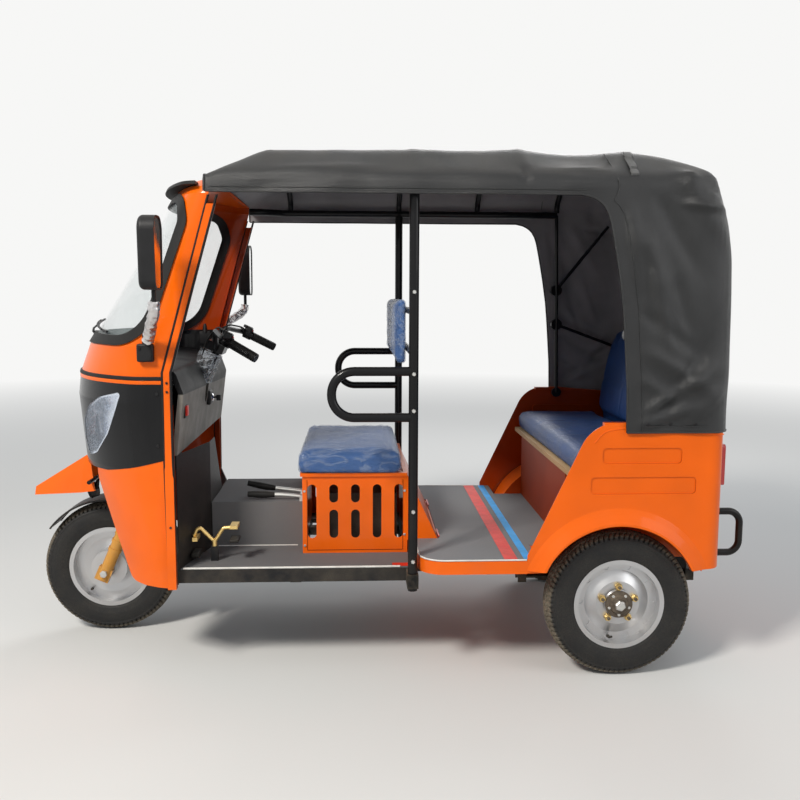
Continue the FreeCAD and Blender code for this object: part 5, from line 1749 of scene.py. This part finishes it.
def red_corners(side):
    """The red corner behind the front mat and the red tab on the front of the rear mat."""
    return [flat_plate(0.060, 0.126, side * 0.460, side * 0.495, 0.3995, 0.4015),
            flat_plate(0.243, 0.249, side * 0.300, side * 0.200, 0.4525, 0.4575)]


show("white_edges", both_sides(white_edges), white_trim)
show("red_corners", both_sides(red_corners), red_plastic)
print("floor trims made")

# %% [markdown]
# Small fastenings give the eye its scale. The seat box is folded sheet, so its edges get thin
# beads, and the pillars and the box are held by bolts that are all one hexagon turned outwards.

# %% Seat box and tube details
BOX_HALF = 0.3234
BOX_REAR, BOX_FRONT, BOX_FOOT, BOX_TOP = 0.106, -0.256, 0.412, 0.683


def box_beads(side):
    """The folded edges on one side of the seat box: front, rear and foot."""
    runs = (((BOX_FRONT, BOX_FOOT), (BOX_FRONT, BOX_TOP)),
            ((BOX_REAR, BOX_FOOT), (BOX_REAR, BOX_TOP)),
            ((BOX_FRONT, BOX_FOOT), (BOX_REAR, BOX_FOOT)))
    return [tube([(x, side * BOX_HALF, z) for x, z in run], 0.0012, 6) for run in runs]


def side_bolts(side):
    """Bolts up the pillar's outer face, and smaller ones at the seat box's corners."""
    pillar = [hexagon((0.129, side * 0.5735, z), (0, side, 0), 0.013, 0.008)
              for z in (1.386, 1.105, 0.977, 0.620, 0.440)]
    return pillar + [hexagon((x, side * 0.3228, z), (0, side, 0), 0.009, 0.004) for x, z in
                     ((-0.266, 0.640), (0.112, 0.640), (0.112, 0.470), (-0.266, 0.430))]


# The seat box's beads take the orange darkened as painted shade.
show("seat_box_beads", both_sides(box_beads), orange_painted_shade)
show("tube_bolts", both_sides(side_bolts), zinc)
print("small hardware made")

# %% [markdown]
# The driver's controls sit on the raked column: two switch pods beside the grips, the cables
# that come out of them and a loom still wrapped in delivery film, whose silver look is painted:
# its creases are painted pale as highlights. They ride with the steering, and the cables are
# tied to the column down to the dash.

# %% Steering controls
RAKE = math.radians(24.0)
FORK_OFFSET = 0.045
STEER_ORIGIN = Vector((FRONT_AXLE_X + FORK_OFFSET * math.cos(RAKE), 0.0,
                       TYRE_OUTER - FORK_OFFSET * math.sin(RAKE)))
STEER_TURN = Matrix.Rotation(RAKE, 3, "Y")


def steer(x, y, z):
    """A point given in the column's own frame, whose Z runs up the column."""
    return STEER_ORIGIN + Vector((x * math.cos(RAKE) + z * math.sin(RAKE), y,
                                  -x * math.sin(RAKE) + z * math.cos(RAKE)))


def column_cable(side, start, radius, low):
    """One cable: out of a pod, in along the bar, then down beside the column."""
    run = (start, (0.030, 0.235, 1.095), (-0.020, 0.120, 1.090), (-0.046, 0.050, 1.010),
           (-0.036, 0.036, 0.930), (-0.030, 0.034, low))
    return tube(rounded_path([steer(x, side * y, z) for x, y, z in run], 0.05), radius, 10)


def steered_box(x, y, z, size, radius):
    """A rounded box that leans with the column."""
    return rounded_box(steer(x, y, z), size, radius, STEER_TURN)


def pod(side):
    """A switch pod and the collar above it."""
    return [steered_box(0.056, side * 0.310, 1.080, (0.034, 0.040, 0.050), 0.008),
            steered_box(0.040, side * 0.300, 1.100, (0.020, 0.024, 0.012), 0.004)]


def button(side):
    return [steered_box(0.074, side * 0.312, 1.092, (0.006, 0.012, 0.010), 0.0025)]


def grip(side):
    """A rubber grip with fifteen ribs, its ends drawn in."""
    start, end = steer(0.078, side * 0.3178, 1.0700), steer(0.183, side * 0.3530, 1.0617)
    shares = np.linspace(0.0, 1.0, 61)
    radii = [0.0172 + 0.0010 * (0.5 + 0.5 * math.sin(t * 2 * math.pi * 15)) for t in shares]
    radii[0] = radii[-1] = 0.0150
    return [tube([start.lerp(end, t) for t in shares], radii, 24)]


HIGH_START, LOW_START = (0.040, 0.290, 1.086), (0.052, 0.300, 1.064)
cables = [column_cable(-1, HIGH_START, 0.0034, 0.855),
          column_cable(1, HIGH_START, 0.0034, 0.860),
          column_cable(-1, LOW_START, 0.0028, 0.870),
          column_cable(1, LOW_START, 0.0028, 0.872)]
show("column_cables", together(cables), black_rubber, "steering")
show("switch_pods", both_sides(pod), black_plastic, "steering")
show("pod_buttons", both_sides(button), red_plastic, "steering")
show("grip_ribs", both_sides(grip), grip_rubber, "steering")
print("steering controls made")

# %% [markdown]
# Packing foil is thin and stiff: it creases in sharp ridges between flat facets. A sleeve
# pinched by ridged noise gives that, and its points are spaced evenly so that the creases
# don't bunch up in the bends.

# %% Silver foil
# Each mirror: its side, where its foot stands, and the middle of its glass.
MIRRORS = ((-1, -0.790, (-0.727, -0.700, 1.507)), (1, -0.770, (-0.600, 0.700, 1.490)))


def crumpled(path, radius, amount, sides, seed):
    """A wrapped sleeve whose surface is pinched and creased."""
    points, faces = tube(path, radius, sides)
    points = np.asarray(points, dtype=float)
    centre = np.repeat(np.array([list(p) for p in path]), sides, axis=0)
    out = points[:len(centre)] - centre
    for i, p in enumerate(points[:len(centre)]):
        at = Vector(p) * 42.0 + Vector((seed, 0.0, 0.0))
        ridge = 1.0 - 2.0 * abs(noise.noise(at))
        points[i] = p + out[i] / radius * amount * (ridge + 0.5 * noise.noise(at * 2.7))
    return points, faces


def evenly(line, first, last, count):
    """Points at equal steps along a path, from one share of its length to another."""
    run = [0.0]
    for a, b in zip(line, line[1:]):
        run.append(run[-1] + (b - a).length)
    even = []
    for s in np.linspace(run[-1] * first, run[-1] * last, count):
        k = max(i for i, r in enumerate(run) if r <= s)
        even.append(line[k].lerp(line[k + 1], (s - run[k]) / (run[k + 1] - run[k])))
    return even


foil = plated("silver_foil", rgb(0.62, 0.60, 0.60), 0.20, dust=0.0)
column = [steer(-0.014, -0.004, z) for z in np.linspace(0.855, 0.975, 40)]
# The loom's wrap is the clear film with painted crease highlights.
show("column_film", crumpled(column, 0.043, 0.005, 40, 3.0), cable_wrap, "steering", angle=25.0)
stalk_sleeves = []
for side, foot, (x, y, z) in MIRRORS:
    in_y = y - side * 0.030
    stalk = rounded_path([(x, in_y, z - 0.112), (x, in_y, z - 0.190),
                          (foot, side * 0.530, 1.185)], 0.040, 0.008)
    stalk_sleeves.append(crumpled(evenly(stalk, 0.16, 0.80, 48), 0.0165, 0.0045, 28, y * 9))
show("stalk_foil", together(stalk_sleeves), foil, angle=40.0)
print("foil made")

# %% [markdown]
# The dash carries a hazard switch and the ignition lock with its key. They are small, but the
# red switch and the bright lock are what makes the grey moulding read as a dash.

# %% Dash details
KEY_AT = (-0.672, 0.072, 0.952)
bezels = [rounded_box((-0.684, -0.430, 0.962), (0.012, 0.046, 0.052), 0.004),
          rounded_box((-0.679, 0.072, 0.952), (0.018, 0.060, 0.060), 0.008)]
show("dash_bezels", together(bezels), black_plastic)
show("hazard_switch", rounded_box((-0.676, -0.430, 0.962), (0.010, 0.030, 0.036), 0.003),
     red_plastic)
barrel, barrel_faces = turned([(0.0005, 0.0), (0.016, 0.0), (0.016, 0.006), (0.012, 0.010),
                               (0.0005, 0.010)], 28, (0.0, 0.0, 0.0))
to_driver = Matrix.Rotation(-math.pi / 2, 3, "Z")
barrel = [to_driver @ Vector(p) + Vector(KEY_AT) for p in barrel]
show("ignition_lock", (barrel, barrel_faces), chrome)
show("ignition_key", together([
    rounded_box((-0.658, 0.072, 0.952), (0.018, 0.0022, 0.008), 0.0006),
    rounded_box((-0.642, 0.072, 0.950), (0.018, 0.006, 0.024), 0.0025)]), black_plastic)
print("dash details made")

# %% [markdown]
# Each mirror's stalk ends in a moulded foot with a short collar, bolted to the cab's side.

# %% Mirror feet
FOOT_HEIGHT = 1.176
feet = []
for side, foot, _ in MIRRORS:
    feet.append(rounded_box((foot, side * 0.5385, FOOT_HEIGHT), (0.056, 0.030, 0.062), 0.006))
    feet.append(tube([(foot, side * 0.531, 1.200), (foot, side * 0.533, 1.222),
                      (foot, side * 0.5365, 1.240)], [0.013, 0.011, 0.0095], 18))
    for dx, dz in ((-0.018, 0.016), (0.018, -0.018), (0.018, 0.016)):
        feet.append(hexagon((foot + dx, side * 0.5525, FOOT_HEIGHT + dz), (0, side, 0),
                            0.011, 0.007))
show("mirror_feet", together(feet), black_plastic)
print("mirror feet made")

# %% [markdown]
# The levers and pedals are bare steel in the frame. What the hand and the foot touch is rubber:
# a waisted grip over the end of each lever, and a pad on each pedal.

# %% Lever grips
lever_grips = []
for y, points in ((-0.100, ((-0.395, 0.6040), (-0.440, 0.6115), (-0.505, 0.6255))),
                  (-0.190, ((-0.390, 0.5975), (-0.435, 0.5985), (-0.495, 0.6005)))):
    line = rounded_path([(x, y, z) for x, z in points], 0.03, 0.006)
    radii = [0.0135] * len(line)
    radii[0], radii[1], radii[-2], radii[-1] = 0.0100, 0.0125, 0.0140, 0.0110
    lever_grips.append(tube(line, radii, 20))
show("lever_grips", together(lever_grips), grip_rubber)
pads = [rounded_box((-0.659, -0.400, 0.4272), (0.030, 0.070, 0.020), 0.006),
        rounded_box((-0.518, -0.400, 0.4800), (0.034, 0.070, 0.012), 0.005)]
show("pedal_pads", together(pads), black_rubber)
print("grips and pads made")

# %% [markdown]
# The side wall has a pressed line over the wheel, and a bead of sealant runs round the wheel
# house, where two sheets meet. The bead grows where the sheets stand apart, so its thickness
# is worked out at each angle from the two circles.

# %% Pressed lines on the body
HOUSE_MIDDLE, HOUSE_RADIUS = (REAR_AXLE_X, 0.290), 0.302
ARCH_MIDDLE, ARCH_RADIUS = (0.852, 0.288), 0.288


def body_line(side):
    """The pressed line over the wheel, back to the rear corner."""
    corners = ((0.757, 0.868), (0.790, 0.909), (0.880, 0.922), (1.212, 0.897))
    return [tube(rounded_path([(x, side * 0.6100, z) for x, z in corners], 0.05), 0.0022, 8)]


def house_bead(side):
    """Sealant where the wheel house meets the side wall, thicker where the two stand apart."""
    house, arch = np.array(HOUSE_MIDDLE), np.array(ARCH_MIDDLE)
    path, radii = [], []
    for angle in np.linspace(50.0, 157.0, 60):
        out = np.array((math.cos(math.radians(angle)), math.sin(math.radians(angle))))
        away = house + out * HOUSE_RADIUS - arch
        along = away @ out
        short = ARCH_RADIUS ** 2 - away @ away
        gap = -along + math.sqrt(along ** 2 + short) if short > 0 else 0.0
        middle = house + out * (HOUSE_RADIUS + gap / 2)
        path.append((middle[0], side * 0.6015, middle[1]))
        radii.append(0.003 + gap / 2)
    return [tube(path, radii, 12)]


show("body_beads", both_sides(body_line), orange_paint)
# The wheel-house beads take the orange darkened as painted shade.
show("house_beads", both_sides(house_bead), orange_painted_shade)
print("body lines made")

# %% [markdown]
# A studio rather than the dirt yard: a pale floor that fades into the same pale world, a
# large soft key from the side that the photograph's sun came from, and a weaker fill. The
# camera, gloss and glass see the pale world, while its light on the vehicle stays modest, so
# each colour renders about as it is written.

# %% Studio
PALE = rgb(0.93, 0.93, 0.92)
WORLD_LIGHT = 0.36
FLOOR_RADIUS = 30.0
FADE_FROM, FADE_TO = 3.0, 12.0


def seen_rays(start):
    """1 for camera, gloss and glass rays, 0 for light on the vehicle."""
    path = start.node("LightPath")
    outputs = path.socket.node.outputs
    rays = [Wire(start.tree, outputs[name]) for name in
            ("Is Camera Ray", "Is Glossy Ray", "Is Transmission Ray")]
    return (rays[0] + rays[1] + rays[2]).kept()


def make_world():
    world = bpy.data.worlds.new("studio")
    bpy.context.scene.world = world
    world.use_nodes = True
    tree = world.node_tree
    tree.nodes.clear()
    start = Wire(tree)
    light = start.node("Background", {"Color": rgb(0.86, 0.93, 1.0), "Strength": WORLD_LIGHT})
    seen = start.node("Background", {"Color": PALE, "Strength": 1.0})
    both = start.node("MixShader", {0: seen_rays(start), 1: light, 2: seen})
    start.node("OutputWorld", {"Surface": both})


def make_floor():
    """A wide disc that shows shadows near the vehicle and fades to the world's colour."""
    sheet = bmesh.new()
    bmesh.ops.create_circle(sheet, cap_ends=True, segments=96, radius=FLOOR_RADIUS)
    mesh = bpy.data.meshes.new("floor")
    sheet.to_mesh(mesh)
    sheet.free()
    floor = placed("floor", mesh)
    material, start = blank("studio_floor")
    x, y, _ = parts_of(place(start))
    away = step_up((x * x + y * y) ** 0.5, FADE_FROM, FADE_TO)
    matt = start.node("BsdfDiffuse", {"Color": rgb(0.74, 0.735, 0.72)})
    glow = start.node("Emission", {"Color": PALE, "Strength": 1.0})
    both = start.node("MixShader", {0: away * seen_rays(start), 1: matt, 2: glow})
    start.node("OutputMaterial", {"Surface": both})
    mesh.materials.append(material)


def soft_lamp(name, at, aim, size, power, colour=(1.0, 1.0, 1.0)):
    """A square softbox turned towards a point."""
    lamp = placed(name, bpy.data.lights.new(name, "AREA"))
    lamp.data.shape = "SQUARE"
    lamp.data.size = size
    lamp.data.energy = power
    lamp.data.color = colour
    lamp.rotation_mode = "QUATERNION"
    lamp.location = at
    lamp.rotation_quaternion = (Vector(aim) - Vector(at)).to_track_quat("-Z", "Y")


make_world()
make_floor()
soft_lamp("key", (-3.6, -4.6, 5.6), (0.0, 0.0, 0.8), 1.3, 480.0, (1.0, 0.965, 0.90))
soft_lamp("fill", (4.5, -3.0, 3.0), (0.3, 0.0, 0.9), 3.0, 60.0)
soft_lamp("back", (1.5, 4.5, 4.0), (0.0, 0.0, 1.0), 3.0, 90.0)
bpy.context.scene.view_settings.view_transform = "Standard"
print("studio ready")
